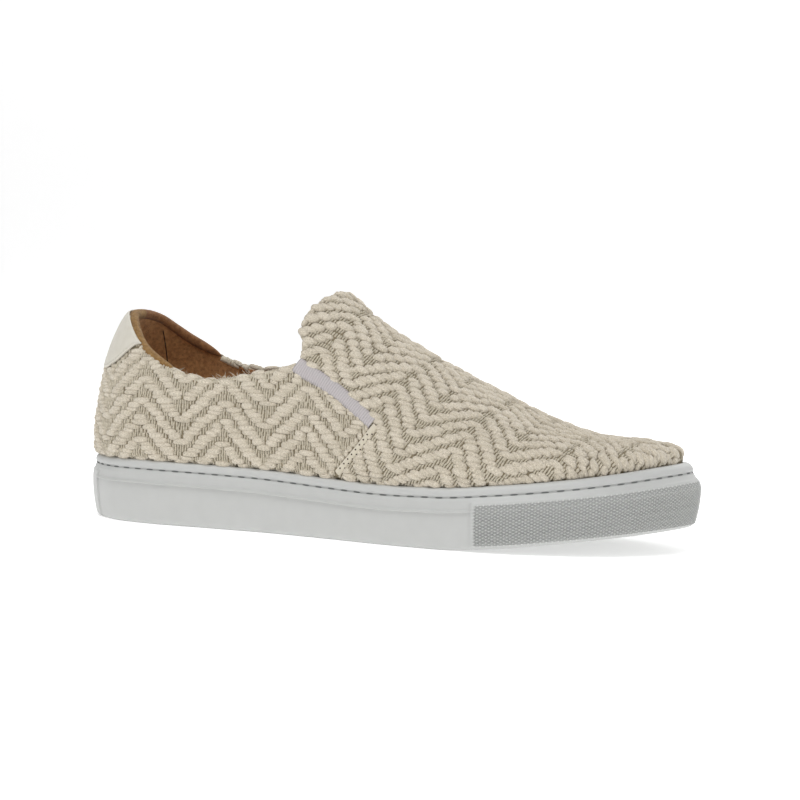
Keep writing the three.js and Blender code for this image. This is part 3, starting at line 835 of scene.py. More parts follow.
def object_scaled(material, per_mm):
    """Object coordinates with a pattern of this many repeats a millimetre."""
    place = add(material, "ShaderNodeTexCoord", {})
    scale = {0: (place, "Object"), "Scale": per_mm / MM}
    return add(material, "ShaderNodeVectorMath", scale, operation="SCALE"), 0


def dress(material, factor, low, high, bumps=()):
    """Colour between two sRGB colours by factor, and bumps as (node, depth in mm, strength) over each other."""
    ends = {"Factor": factor, "A": linear(low), "B": linear(high)}
    colour = add(material, "ShaderNodeMix", ends, data_type="RGBA")
    shown = [i for i, output in enumerate(colour.outputs) if output.enabled][0]
    wires = {"Base Color": (colour, shown)}
    for node, depth, strength in bumps:
        height = {"Height": (node, 0), "Distance": depth * MM, "Strength": strength}
        if "Normal" in wires:
            height["Normal"] = wires["Normal"]
        wires["Normal"] = add(material, "ShaderNodeBump", height), "Normal"
    fill(material, material.node_tree.nodes["Principled BSDF"], wires)
    return material


def white_rubber():
    """Moulded vulcanised rubber, washed white: nearly smooth, faintly cloudy, with a soft shine."""
    made = new_material("white_rubber", "#c3c4c2", 0.45, Specular_IOR_Level=0.45)
    cloud = add(made, "ShaderNodeTexNoise", {"Vector": object_scaled(made, 0.03), "Detail": 3})
    fine = add(made, "ShaderNodeTexNoise", {"Vector": object_scaled(made, 1.2)})
    return dress(made, (cloud, 0), "#bebfbd", "#c5c6c4", [(fine, 0.006, 1.0)])


def slubby_yarn(name, dark, light, strands, depth):
    """Soft spun cotton and wool yarn: strands that run along it, a fuzzy sheen and uneven shades."""
    made = new_material(name, light, 0.92, Specular_IOR_Level=0.25, Sheen_Weight=0.35, Sheen_Roughness=0.6)
    uv = add(made, "ShaderNodeUVMap", {}, uv_map="pattern")
    stretch = add(made, "ShaderNodeMapping", {"Vector": (uv, "UV"), "Scale": [0.28, 1.0, 1.0]})
    place = stretch, "Vector"
    wander = add(made, "ShaderNodeTexNoise", {"Vector": place, "Scale": strands, "Detail": 2.0})
    lines = add(made, "ShaderNodeTexNoise", {"Vector": place, "Scale": strands * 3.1, "Detail": 3.0})
    tone = add(made, "ShaderNodeAttribute", {}, attribute_name="tone")
    own = add(made, "ShaderNodeMath", {0: (tone, "Fac"), 1: 0.06}, operation="MULTIPLY")
    blend = add(made, "ShaderNodeMath", {0: (lines, 0), 1: (own, 0)}, operation="ADD")
    spread = add(made, "ShaderNodeMapRange", {"Value": (blend, 0), "From Min": 0.36, "From Max": 0.66})
    return dress(made, (spread, 0), dark, light, [(wander, depth, 1.0), (lines, depth * 0.3, 1.0)])


def woven_ground():
    """The thin ground threads under the ribs, seen only at the bottom of the channels; their colour is darkened
    below the yarn's as painted shade.
    """
    made = new_material("weave_ground", "#a3977f", 0.95)
    weave = add(made, "ShaderNodeTexVoronoi", {"Vector": object_scaled(made, 0.8)})
    return dress(made, (weave, 0), "#a99d84", "#7a6f59", [(weave, 0.3, 1.0)])


def knurled_rubber():
    """The same rubber, with painted highlights on the diamonds' tops and painted shade in their valleys."""
    made = new_material("knurled_rubber", "#c3c4c2", 0.5, Specular_IOR_Level=0.4)
    tone = add(made, "ShaderNodeAttribute", {}, attribute_name="tone")
    return dress(made, (tone, "Fac"), "#8d8e8c", "#cfd0ce")


def tab_leather():
    """Smooth dressed calf leather, off-white, with a fine grain and a dull gloss."""
    made = new_material("off_white_leather", "#d6d1c5", 0.42, Specular_IOR_Level=0.4)
    grain = add(made, "ShaderNodeTexVoronoi", {"Vector": object_scaled(made, 1.6)})
    cloud = add(made, "ShaderNodeTexNoise", {"Vector": object_scaled(made, 0.06)})
    return dress(made, (cloud, 0), "#cfcabd", "#dbd7cc", [(grain, 0.03, 0.6)])


def brushed_suede(name, dark, light):
    """Split suede with a short nap, brushed into lighter and darker patches."""
    made = new_material(name, light, 0.97, Specular_IOR_Level=0.12, Sheen_Weight=0.2, Sheen_Roughness=0.5)
    patch = add(made, "ShaderNodeTexNoise", {"Vector": object_scaled(made, 0.12), "Detail": 4})
    nap = add(made, "ShaderNodeTexNoise", {"Vector": object_scaled(made, 1.1), "Detail": 3})
    both = add(made, "ShaderNodeMath", {0: (patch, 0), 1: (nap, 0)}, operation="ADD")
    spread = add(made, "ShaderNodeMapRange", {"Value": (both, 0), "From Min": 0.75, "From Max": 1.25})
    return dress(made, (spread, 0), dark, light, [(nap, 0.45, 1.0)])


def smooth_lining():
    """Tan lining leather with a smoother face than the suede."""
    made = new_material("tan_lining_leather", "#8f6136", 0.6, Specular_IOR_Level=0.3)
    patch = add(made, "ShaderNodeTexNoise", {"Vector": object_scaled(made, 0.2)})
    return dress(made, (patch, 0), "#7f532c", "#9c6c3f", [(patch, 0.1, 1.0)])


def ribbed_elastic():
    """Woven elastic: rubber threads covered in grey lilac yarn, with painted shade between the ribs of the mesh.
    """
    made = new_material("ribbed_elastic", "#b4aeb0", 0.8, Specular_IOR_Level=0.25, Sheen_Weight=0.15)
    uv = add(made, "ShaderNodeUVMap", {}, uv_map="pattern")
    rib = add(made, "ShaderNodeSeparateXYZ", {"Vector": (uv, "UV")})
    turn = add(made, "ShaderNodeMath", {0: (rib, "X"), 1: math.pi}, operation="MULTIPLY")
    wave = add(made, "ShaderNodeMath", {0: (turn, 0)}, operation="SINE")
    ridge = add(made, "ShaderNodeMath", {0: (wave, 0)}, operation="ABSOLUTE")
    fine = add(made, "ShaderNodeTexNoise", {"Vector": object_scaled(made, 1.5)})
    return dress(made, (ridge, 0), "#747071", "#c2bcbd", [(fine, 0.08, 1.0)])


rubber = white_rubber()
knurl_rubber = knurled_rubber()
wool = slubby_yarn("cream_slub_yarn", "#b1a68f", "#e9dfce", 1.3, 0.7)
warp_cotton = slubby_yarn("cream_warp_yarn", "#b3a992", "#ddd4c2", 2.0, 0.2)
weave_ground = woven_ground()
elastic = ribbed_elastic()
leather = tab_leather()
# One brown suede in three colours: the lining's is lightened as painted light for the shade inside the shoe, the
# outer roll's tan is painted sheen of grazing light on its nap, and the inner roll's darker brown is painted
# shade on its top
suede = brushed_suede("brown_suede", "#a06f45", "#dba872")
suede_painted_sheen = brushed_suede("tan_suede_painted_sheen", "#7f5c33", "#b08c58")
suede_painted_shade = brushed_suede("brown_suede_painted_shade", "#704a2b", "#a37247")
lining_leather = smooth_lining()
thread = new_material("dark_grey_thread", "#6f7271", 0.85)
brown_thread = new_material("dark_brown_thread", "#33200f", 0.9)
fold_cloth = slubby_yarn("cream_folded_cloth", "#c9c0aa", "#dcd4c2", 1.4, 0.2)


# Sole

# The side from the rim down: distance below the rim in mm, how far it stands out of the plain side,
# and the same on the toe's and heel's raised panels
SIDE_PROFILE = [
    (0.00, -1.90, -1.90), (0.15, -1.35, -1.35), (0.50, -0.75, -0.75), (1.00, -0.30, -0.30),
    (1.60, -0.02, -0.02), (2.30, 0.12, 0.12), (3.00, 0.08, 0.08), (3.50, -0.10, -0.10),
    (3.85, -0.45, -0.45), (4.05, -0.85, -0.85), (4.50, -0.85, -0.85), (4.70, -0.40, -0.40),
    (4.90, -0.22, -0.22), (5.60, -0.20, -0.20), (5.78, 0.00, 0.00), (6.60, 0.00, 0.00),
    (6.90, 0.00, 0.40), (7.20, 0.00, 0.66), (7.80, 0.00, 0.70), (9.20, 0.00, 0.70),
    (9.95, 0.00, 0.70), (10.30, 0.60, 0.70), (10.68, 1.15, 0.70), (10.85, 1.05, 0.70),
    (11.05, 0.00, 0.70),
]
# The same below the raised line, as shares of what is left down to the ground
FOOT_PROFILE = [
    (0.12, 0.00, 0.70), (0.30, 0.00, 0.70), (0.50, 0.00, 0.70), (0.70, 0.00, 0.70), (0.86, 0.00, 0.70),
    (0.93, -0.12, 0.50), (0.97, -0.50, 0.00), (1.00, -1.50, -1.30),
]
PANEL_EDGE = 0.35  # length over which a panel's end rises


def side_place(s, down, relief):
    """A point of the sole's side, this far below the rim."""
    rim = rim_at(s)
    ground = ground_at(s)
    z = rim - down
    widest = rim - RIDGE_DROP
    above = np.maximum(0, (z - widest) / RIDGE_DROP)
    below = np.maximum(0, (widest - z) / (widest - ground))
    plan = outline(s, rim_inset_at(s) * above + SIDE_TAPER * below ** 2 - relief)
    return np.concatenate([plan, z[..., None]], -1)


def row_at(share, side):
    row = np.linspace(0, LAST_ROW, 4000)
    x = outline_point(station(row, side))[:, 0]
    return float(np.interp(share * LENGTH, x, row))


def panel_share(row, side):
    """1 on the toe's and the heel's raised panels and 0 between them."""
    edge = PANEL_EDGE / LENGTH * LAST_ROW
    heel = np.clip((row_at(HEEL_PANEL_END, side) + edge - row) / edge, 0, 1)
    toe = np.clip((row - row_at(TOE_PANEL_START, side)) / edge, 0, 1)
    return np.maximum(heel, toe)


def sole_rows(side):
    """Stations of one side, the same number on each, with both ends of every panel's edge among them."""
    edge = PANEL_EDGE / LENGTH * LAST_ROW
    heel, toe = row_at(HEEL_PANEL_END, side), row_at(TOE_PANEL_START, side)
    back = np.linspace(0, heel, 16)
    middle = np.linspace(heel + edge, toe, 110)
    front = np.linspace(toe + edge, LAST_ROW, 80)
    return np.concatenate([back, middle, front])


def sole_half(side):
    """Points [row, step] from the cup's floor over the rim and down to the ground."""
    row = sole_rows(side)
    s = station(row, side)
    panel = panel_share(row, side)
    inner, rim = rim_inset_at(s) + CUP_WALL, rim_at(s)
    mouth = [(floor_at(s), inner), (rim - 0.8, inner), (rim - 0.2, inner - 0.25), (rim, inner - 0.9)]
    steps = [np.concatenate([outline(s, inset), z[:, None]], 1) for z, inset in mouth]
    for down, plain, proud in SIDE_PROFILE:
        steps.append(side_place(s, np.full_like(s, down), plain + (proud - plain) * panel))
    left = rim_at(s) - ground_at(s) - SIDE_PROFILE[-1][0]
    for share, plain, proud in FOOT_PROFILE:
        down = SIDE_PROFILE[-1][0] + left * share
        steps.append(side_place(s, down, plain + (proud - plain) * panel))
    return np.stack(steps, 1)


TREAD_RECESS = 0.9  # the underside is hollowed by this for the tread
TREAD_DEEP = 0.7
TREAD_EVERY = 6.5  # pitch of the tread's zigzag ribs, guessed, as the photo doesn't show the underside
TREAD_ZIG = 5.0
TREAD_ZIG_WIDE = 9.0


def sole_body():
    outer, inner = sole_half("outer"), sole_half("inner")
    across = np.array([0.01, 0.05, 0.3, 0.5, 0.7, 0.95, 0.99])
    under = outer[:, None, -1] + (inner[:, None, -1] - outer[:, None, -1]) * across[:, None]
    under[:, 1:-1, 2] += TREAD_RECESS
    return tube_of(np.concatenate([outer, under, inner[:, ::-1]], 1))


cupsole = finish_piece(sole_body(), "rubber_cupsole", rubber, "sole_rubber")
cupsole.data.set_sharp_from_angle(angle=math.radians(60))
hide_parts("cupsole")


STITCH_DEPTH = 4.28  # below the rim, in the groove's bottom
STITCH_EVERY = 6.85
STITCH_LONG = 3.9
STITCH_OUT = -0.62  # the stitches' middle line lies this far out of the plain side
KNURL_ALONG = 1.35
KNURL_DOWN = 0.71
KNURL_HIGH = 0.55
KNURL_TOP = 7.6  # below the rim
KNURL_FOOT = 1.1  # above the ground
KNURL_EDGE = 0.4  # plain border of the knurled panel
KNURL_VALLEY = -0.04
KNURL_BORDER = -0.12  # the sheet's rim sinks into the panel


def perimeter(down, relief, s_from, s_to, step=0.02):
    """Stations with the distance run along the sole's side at one depth below the rim."""
    s = np.arange(s_from, s_to + step / 2, step)
    return s, run_along(side_place(s, np.full_like(s, down), relief))


def tube_points(line, radius, around=8, outward=None):
    """Rings round a line, [step, k, 3]; radius may change along it."""
    along = unit(np.gradient(line, axis=0))
    side = unit(np.cross(along, outward if outward is not None else np.array([0.0, 0.0, 1.0])))
    upward = np.cross(side, along)
    turn = np.linspace(0, 2 * math.pi, around, endpoint=False)
    radius = np.broadcast_to(radius, len(line))[:, None, None]
    ring = side[:, None] * np.cos(turn)[:, None] + upward[:, None] * np.sin(turn)[:, None]
    return line[:, None] + ring * radius


def tube_piece(name, line, radius, material, slot, around=8, outward=None):
    """A tube along a line, pointed or rounded where its radius goes to nought, else closed at its ends."""
    rings = tube_points(line, radius, around, outward)
    run, turn = run_along(line)[:, None], np.linspace(0, 6, around + 1)[None]
    uv = np.stack(np.broadcast_arrays(run, turn), -1)
    bm = sheet_of(np.concatenate([rings, rings[:, :1]], 1), uv=uv)
    bmesh.ops.remove_doubles(bm, verts=bm.verts, dist=1e-6)
    bmesh.ops.holes_fill(bm, edges=bm.edges, sides=around + 1)
    bmesh.ops.recalc_face_normals(bm, faces=bm.faces)
    return finish_piece(bm, name, material, slot)


def stitches(name, lines, radius, material, slot, around=6):
    """Short threads in one mesh: lines[copy, step, 3]."""
    steps = lines.shape[1]
    fat = np.sqrt(np.clip(1 - np.linspace(-1, 1, steps) ** 4, 0, 1)) * radius
    rings = np.array([tube_points(line, np.maximum(fat, 0.01), around) for line in lines])
    uv = np.zeros((*rings.shape[:3], 2))
    joined(name, rings, steps, around, material, slot, uv, np.zeros(len(lines)), False)


def sole_stitches():
    s, run = perimeter(STITCH_DEPTH, STITCH_OUT, 0, AROUND)
    middles = np.arange(1.0, run[-1] - 2, STITCH_EVERY)
    offsets = np.linspace(-0.5, 0.5, 6) * STITCH_LONG
    stations_2d = np.interp(middles[:, None] + offsets, run, s)
    lines = side_place(stations_2d, np.full_like(stations_2d, STITCH_DEPTH), STITCH_OUT)
    stitches("sole_stitches", lines, 0.3, thread, "sole_rubber")


def knurl():
    """The toe panel's diamonds: a sheet whose every second corner stands out."""
    edge = (PANEL_EDGE + KNURL_EDGE) / LENGTH * LAST_ROW
    outer, inner = (row_at(TOE_PANEL_START, side) + edge for side in SIDES)
    s, run = perimeter(12.0, PANEL_RELIEF, outer, AROUND - inner)
    columns = int(run[-1] / KNURL_ALONG)
    along = np.interp(np.linspace(0, run[-1], columns + 1), run, s)
    height = rim_at(along) - ground_at(along)
    rows = int((float(np.mean(height)) - KNURL_TOP - KNURL_FOOT) / KNURL_DOWN)
    share = np.linspace(0, 1, rows + 1)[::-1]
    down = KNURL_TOP + (height[None] - KNURL_FOOT - KNURL_TOP) * share[:, None]
    i, j = np.meshgrid(np.arange(columns + 1), np.arange(rows + 1))
    high = np.where((i + j) % 2 == 0, KNURL_HIGH, KNURL_VALLEY)
    border = (i == 0) | (i == columns) | (j == 0) | (j == rows)
    high = np.where(border, KNURL_BORDER, high)
    stations_2d = np.broadcast_to(along, down.shape)
    places = side_place(stations_2d, down, PANEL_RELIEF)
    out = outline(stations_2d, -1.0) - outline(stations_2d, 0.0)
    places[..., :2] += out * high[..., None]
    foot = np.clip((down - (height[None] - 3.0)) / 3.0, 0, 1)
    places[..., :2] -= out * (0.5 * foot ** 2)[..., None]
    bm = sheet_of(places)
    # Tone 1 on the diamonds' tops and the border gives them painted highlight, tone 0 gives the valleys painted
    # shade
    tone = bm.verts.layers.float.new("tone")
    for vertex, value in zip(bm.verts, np.where(border | (high > 0), 1.0, 0.0).ravel()):
        vertex[tone] = value
    bm.faces.ensure_lookup_table()
    faces = [(face, (k % columns + k // columns) % 2) for k, face in enumerate(bm.faces)]
    bmesh.ops.triangulate(bm, faces=[face for face, odd in faces if odd], quad_method="FIXED")
    bmesh.ops.triangulate(bm, faces=[face for face, odd in faces if not odd], quad_method="ALTERNATE")
    return bm


def tread(stations_count=290, across_count=96):
    """The underside: zigzag ribs across the sole, level with its edge, and grooves between them."""
    row = np.linspace(0.12, LAST_ROW - 0.12, stations_count)
    outer, inner = (outline(s, SIDE_TAPER + 1.9) for s in (row, AROUND - row))
    share = np.linspace(0, 1, across_count)[None, :, None]
    plan = outer[:, None] * (1 - share) + inner[:, None] * share
    zig = np.abs(np.mod(plan[..., 1] / TREAD_ZIG_WIDE, 2) - 1) * TREAD_ZIG
    wave = np.sin((plan[..., 0] + zig) * 2 * math.pi / TREAD_EVERY)
    groove = TREAD_DEEP * np.clip(0.5 - 1.6 * wave, 0, 1)
    groove[:, [0, 1, -2, -1]] = 0.05
    groove[[0, 1, -2, -1]] = 0.05
    return sheet_of(np.concatenate([plan, (ground_at(row)[:, None] + groove)[..., None]], 2))


finish_piece(tread(), "sole_tread", rubber, "sole_rubber")
sole_stitches()
finish_piece(knurl(), "toe_panel_knurl", knurl_rubber, "sole_rubber", smooth=False)


# Upper


cloth = finish_piece(form(even(0.0)), "upper_cloth", weave_ground, "woven_cloth")
cut(cloth, [
    form(even(-1.2), drop=4),
    *(opening_prism(side) for side in SIDES),
    *(band_prism(gore_line, GORE_WIDTH + 0.6, side) for side in SIDES),
])
lining = finish_piece(form(even(-1.25)), "upper_lining", suede, "suede")
cut(lining, [*(opening_prism(side) for side in SIDES), form(lining_depth, drop=4)])
for piece in (cloth, lining):
    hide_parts("upper")


# The weave: floats of thick slubby yarn in herringbone ribs, and thin warps in the channels between them

# Each cut piece of cloth: width of a column of ribs that slant one way, where the ribs turn over, the pitch
# of the ribs along a row, how much coarser the rows are near the top, and where the rows start and end
WEAVES = {
    "quarter": {"column": 21.35, "apex": 52.8, "every": 9.8, "swell": 0.0, "from": -0.9, "to": 80.0},
    "vamp": {"column": 20.5, "apex": 89.0, "every": 9.2, "swell": 0.4, "from": -30.0, "to": 98.0},
}
WEFT_ROW = 2.05  # pitch of the weft rows
FLOAT_LONG = 7.4
FLOAT_WIDE = 1.42  # width of a float for the pitch of its row
FLOAT_HIGH_FOR_PITCH = 0.66
SWELL_REACH = 22.0  # how far down from the top the rows are coarser
WARP_EVERY = 1.25
WARP_LONG = 2.9
WARP_WIDE = 0.98
WARP_HIGH = 0.6
FOLD_TURN = 2.7  # radians of the fold that carry floats
TURN_UNDER_ROLL = 0.9
ROLL_COVER = 3.2  # row up to which the rolled edge covers the fold
BEHIND_RIM = -1.25  # the weave ends at this angle, behind the cup's rim
OVER_RIDGE = -1.3  # rows whose middle lies this far past the ridge are left to the other side
random = np.random.default_rng(7)


def coarser(weave, v):
    return 1 + weave["swell"] * np.exp(-(np.maximum(v, 0) / SWELL_REACH) ** 2)


def rib_middles(climb, weave, u_low, u_high):
    """Middles of the floats of one row: the ribs climb towards the apex, fall after it, and so on."""
    width = weave["column"]
    first = math.floor((u_low - weave["apex"]) / width)
    last = math.ceil((u_high - weave["apex"]) / width)
    steps = np.arange(climb % weave["every"], width, weave["every"])
    middles = []
    for column in range(first, last):
        start = weave["apex"] + column * width
        climbing = column % 2 == 1
        middles.extend(start + steps if climbing else start + width - steps[::-1])
    return np.array(middles)


def weave_rows(weave):
    """Middle, pitch and climb of each weft row; the yarn is uneven, so the pitch is too."""
    rows = []
    v, climb = weave["from"], weave["from"]
    while v < weave["to"]:
        thick = float(np.clip(random.normal(1.0, 0.15), 0.7, 1.35))
        swell = float(coarser(weave, v))
        pitch = WEFT_ROW * thick * swell
        rows.append((v + pitch / 2, pitch, climb))
        v += pitch
        climb += pitch * swell ** 0.5
    return rows


def float_spans(climb, weave, u_low, u_high):
    """Start and end of each float of a row; near a turn of the ribs two floats join or make room."""
    middles = rib_middles(climb, weave, u_low, u_high)
    middles = np.sort(middles + random.normal(0, 0.35, len(middles)))
    spans = []
    for middle in middles:
        length = FLOAT_LONG * float(np.clip(random.normal(1, 0.12), 0.7, 1.3))
        start, end = middle - length / 2, middle + length / 2
        if spans and start < spans[-1][1] + 0.5:
            gap = middle - (spans[-1][0] + spans[-1][1]) / 2
            if gap < 0.55 * FLOAT_LONG:
                spans[-1] = [spans[-1][0] + 0.25 * gap, end - 0.25 * gap]
                continue
            meet = (spans[-1][1] + start) / 2
            spans[-1][1] = meet - 0.35
            start = meet + 0.35
        spans.append([start, end])
    return spans


def clipped(span, sample_u, shown):
    """The longest stretch of a float that lies where its cloth shows, or None."""
    kept = sample_u[(sample_u >= span[0]) & (sample_u <= span[1]) & (shown > 0)]
    if len(kept) < 3:
        return None
    longest = max(np.split(kept, np.where(np.diff(kept) > 0.6)[0] + 1), key=len)
    if len(longest) < 3:
        return None
    start = span[0] if longest[0] - span[0] < 0.6 else longest[0]
    end = span[1] if span[1] - longest[-1] < 0.6 else longest[-1]
    return start, end


def lay_weave(weave, chart, place, inside):
    """Floats as (u0, u1, v, pitch) and warps as (u, v, row), kept where the cloth shows."""
    floats, warps = [], []
    u_low, u_high = chart.u[0], chart.u[-1]
    sample_u = np.arange(u_low, u_high, 0.5)
    warp_u = np.arange(u_low, u_high, WARP_EVERY)
    rows = weave_rows(weave)
    all_v = np.array([row[0] for row in rows])[:, None] + 0 * sample_u
    s, angle = chart.at(np.broadcast_to(sample_u, all_v.shape), all_v)
    flat, beyond = place(s, angle, np.zeros_like(s))
    turn = np.where(row_of(s) < ROLL_COVER, TURN_UNDER_ROLL, FOLD_TURN)
    within = np.where(beyond > 0, FOLD * turn - beyond, inside(flat[..., 0], flat[..., 2]))
    below_top = all_v - np.interp(sample_u, chart.u, chart.start)
    all_shown = np.where((angle < BEHIND_RIM) | (below_top < OVER_RIDGE), -1.0, within)
    for index, (v, pitch, climb) in enumerate(rows):
        shown = all_shown[index]
        covered = np.zeros_like(warp_u, bool)
        for span in float_spans(climb, weave, u_low, u_high):
            kept = clipped(span, sample_u, shown)
            if kept is None:
                continue
            floats.append((*kept, v, pitch * random.uniform(0.92, 1.12)))
            covered |= (warp_u > kept[0] + 0.2) & (warp_u < kept[1] - 0.2)
        free = ~covered & (np.interp(warp_u, sample_u, shown) > 0.1)
        warps.extend((u, v, index) for u in warp_u[free])
    return np.array(floats), np.array(warps)


FLOAT_STEPS = np.sin(np.linspace(-math.pi / 2, math.pi / 2, 9))
FLOAT_ROUND = np.linspace(0, math.pi, 7)
WARP_STEPS = np.sin(np.linspace(-math.pi / 2, math.pi / 2, 5))
WARP_ROUND = np.linspace(0, math.pi, 4)


def spindle(steps, round_angles):
    """Template of a yarn's hump as (along, across, up): rings, each an arch and one point below."""
    body = (1 - np.abs(steps) ** 3.6) ** 0.5
    across = np.concatenate([np.cos(round_angles), [0.0]])
    up = np.concatenate([np.sin(round_angles), [-0.5]])
    a = np.repeat(steps[:, None], len(across), 1)
    b = body[:, None] * across
    c = body[:, None] * up - 0.45 * np.abs(steps[:, None]) ** 5
    return a, b, c


def per_copy(values):
    return values[:, None, None]


def float_piece(name, floats, chart, place, turned):
    a, b, c = spindle(FLOAT_STEPS, FLOAT_ROUND)
    start, end, v, pitch = floats.T
    long = end - start
    full = np.clip(long / FLOAT_LONG, 0.5, 1.1)
    wide = FLOAT_WIDE * pitch
    high = FLOAT_HIGH_FOR_PITCH * np.minimum(pitch, 2.6) * full ** 0.6
    high *= random.uniform(0.88, 1.12, len(floats))
    sag = random.normal(0, 0.16, len(floats))
    lean = random.normal(0, 0.14, len(floats))
    u = per_copy((start + end) / 2) + a * per_copy(long / 2)
    across = per_copy(v) + b * per_copy(wide / 2) + per_copy(sag) * (1 - a ** 2) + per_copy(lean) * a
    s, angle = chart.at(u, across)
    places, _ = place(s, angle, c * per_copy(high))
    ring = np.linspace(0, 1, a.shape[1])
    drift = per_copy(random.uniform(0, 50, len(floats)))
    uv = np.stack([u + drift, np.broadcast_to(ring, u.shape) * per_copy(wide * 1.9) + drift], -1)
    tone = random.uniform(0, 1, len(floats))
    joined(name, places, *a.shape, wool, "woven_cloth", uv, tone, turned)


def warp_piece(name, warps, chart, place, turned):
    a, b, c = spindle(WARP_STEPS, WARP_ROUND)
    u, v, index = warps.T
    over = (np.round(u / WARP_EVERY) + index) % 2 > 0
    lift = np.where(over, 1.25, 0.85) * random.uniform(0.8, 1.2, len(u))
    drift = random.normal(0, 0.12, len(u))
    lean = random.normal(0, 0.1, len(u))
    across = per_copy(u + drift) + b * WARP_WIDE / 2 + a * per_copy(lean)
    along = per_copy(v) + a * WARP_LONG / 2
    s, angle = chart.at(across, along)
    places, _ = place(s, angle, c * WARP_HIGH * per_copy(lift))
    uv = np.stack([along, across * 3], -1)
    tone = random.uniform(0, 1, len(u))
    joined(name, places, *a.shape, warp_cotton, "woven_cloth", uv, tone, not turned)


quarter = quarter_chart()
quarter_floats, quarter_warps = lay_weave(WEAVES["quarter"], quarter, quarter_place, on_quarter)
float_piece("weft_quarter", quarter_floats, quarter, quarter_place, False)
warp_piece("warp_quarter", quarter_warps, quarter, quarter_place, False)
for vamp_side in SIDES:
    random = np.random.default_rng(21)
    vamp = vamp_chart(vamp_side)
    on_outer = vamp_side == "outer"
    vamp_floats, vamp_warps = lay_weave(WEAVES["vamp"], vamp, vamp_place, on_vamp)
    float_piece("weft_vamp_" + vamp_side, vamp_floats, vamp, vamp_place, on_outer)
    warp_piece("warp_vamp_" + vamp_side, vamp_warps, vamp, vamp_place, on_outer)


# Heel tab

# Distance in from the tab's lower edge and how far out its face is there, with the stitched groove
TAB_EDGE_ROWS = [
    (0.00, 0.20), (0.05, 0.90), (0.25, 1.28), (0.60, 1.48), (1.05, 1.50), (1.30, 1.38), (1.50, 1.12),
    (1.70, 1.38), (1.95, 1.50), (2.60, 1.52),
]
# Share of what is left up to the collar, and how far out the face is there
TAB_TOP_ROWS = [
    (0.10, 1.50), (0.22, 1.50), (0.36, 1.50), (0.50, 1.50), (0.64, 1.50), (0.76, 1.48), (0.86, 1.42),
    (0.93, 1.25), (0.97, 1.00), (1.00, 0.50),
]


def tab_ends():
    """Stations where the tab's lower edge meets the collar, on the inner and the outer side."""
    s = np.linspace(0, 5, 500)
    ends = []
    for side, sign in (("inner", -1), ("outer", 1)):
        gap = angle_on(collar_line[side], s * sign) - angle_on(tab_line, s * sign)
        ends.append(float(s[np.argmax(gap < 0.004)]) * sign)
    return ends


def collar_angle(s):
    s = np.asarray(s, float)
    return np.where(s <= 0, angle_on(collar_line["inner"], s), angle_on(collar_line["outer"], s))


def tab_sheet(columns=220):
    """The tab's face from its lower edge to the collar, round the heel from tip to tip."""
    inner_end, outer_end = tab_ends()
    half = columns // 2
    s = np.concatenate([np.linspace(inner_end, 0, half), np.linspace(0, outer_end, half)[1:]])
    low, high = angle_on(tab_line, s), collar_angle(s)
    per_radian = np.linalg.norm(skin_slopes(s, low)[1], axis=-1)
    tall = np.maximum((high - low) * per_radian, 0.02)
    squeeze = np.clip(tall / 6.0, 0.01, 1)
    edge = [low + (high - low) * distance * squeeze / tall for distance, _ in TAB_EDGE_ROWS]
    angle = np.stack([*edge, *(edge[-1] + (high - edge[-1]) * share for share, _ in TAB_TOP_ROWS)])
    out = np.array([out for _, out in TAB_EDGE_ROWS + TAB_TOP_ROWS])
    return raised(np.broadcast_to(s, angle.shape), angle, out[:, None] * np.clip(tall / 3.0, 0.15, 1))


tab = finish_piece(sheet_of(tab_sheet()), "heel_tab_leather", leather, "smooth_leather")
thickened(tab, 0.5)
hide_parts("heel_tab")

TAB_STITCH_UP = 1.5  # from the tab's lower edge, in its groove
TAB_STITCH_OUT = 1.2
TAB_STITCH_EVERY = 2.2


def tab_stitches():
    inner_end, outer_end = tab_ends()
    s = np.linspace(inner_end + 0.25, outer_end - 0.25, 900)
    low = angle_on(tab_line, s)
    angle = low + TAB_STITCH_UP / np.linalg.norm(skin_slopes(s, low)[1], axis=-1)
    line = raised(s, angle, TAB_STITCH_OUT)
    middles = np.arange(1.5, run_along(line)[-1] - 1.5, TAB_STITCH_EVERY)
    lines = along_line(line, middles[:, None] + np.linspace(-0.75, 0.75, 5))
    stitches("tab_stitches", lines, 0.17, tab_thread, "smooth_leather", around=5)


tab_thread = new_material("cream_tab_thread", "#b9b4a6", 0.8)
tab_stitches()


# Rolled suede edge of the padded collar, round the heel

ROLL_RADIUS = 2.4
ROLL_JOIN = -0.3  # station where the outer side's roll, tan with painted sheen, meets the inner side's roll, brown with painted shade
ROLL_ENDS = {"outer": 3.35, "inner": -3.1}


def roll_line(start, end, steps=160):
    """Middle line and radius of the roll from the join to its end, where it thins out."""
    s = np.linspace(start, end, steps)
    edge = skin(s, collar_angle(s))
    normal = skin_normal(s, collar_angle(s)) * [1, 1, 0]
    ends = np.clip(np.abs(end - s) / 0.55, 0, 1)
    radius = ROLL_RADIUS * np.sin(ends * math.pi / 2) ** 0.5
    middle = edge - unit(normal) * (ROLL_RADIUS - 0.4) - np.array([0, 0, 1.0]) * (ROLL_RADIUS - 0.6)
    return middle, np.maximum(radius, 0.02)


# The outer side's roll gets the suede with painted sheen, the inner side's roll the suede with painted shade
for roll_side, roll_suede in (("outer", suede_painted_sheen), ("inner", suede_painted_shade)):
    roll = tube_piece(
        "collar_roll_" + roll_side, *roll_line(ROLL_JOIN, ROLL_ENDS[roll_side]), roll_suede, "suede", around=16,
    )

# Folded edges of the cloth along the collar and the tongue


def collar_fold_points(side):
    """Middle of the fold from the end of the tab along the collar to the foot of the tongue."""
    s = np.linspace(3.1, 5.6, 90) * (1 if side == "outer" else -1)
    angle = angle_on(cloth_collar[side], s)
    behind = skin(s, angle)[:, 0] < cloth_tongue[0, 0] - 1.0
    return raised(s[behind], angle[behind], -FOLD)


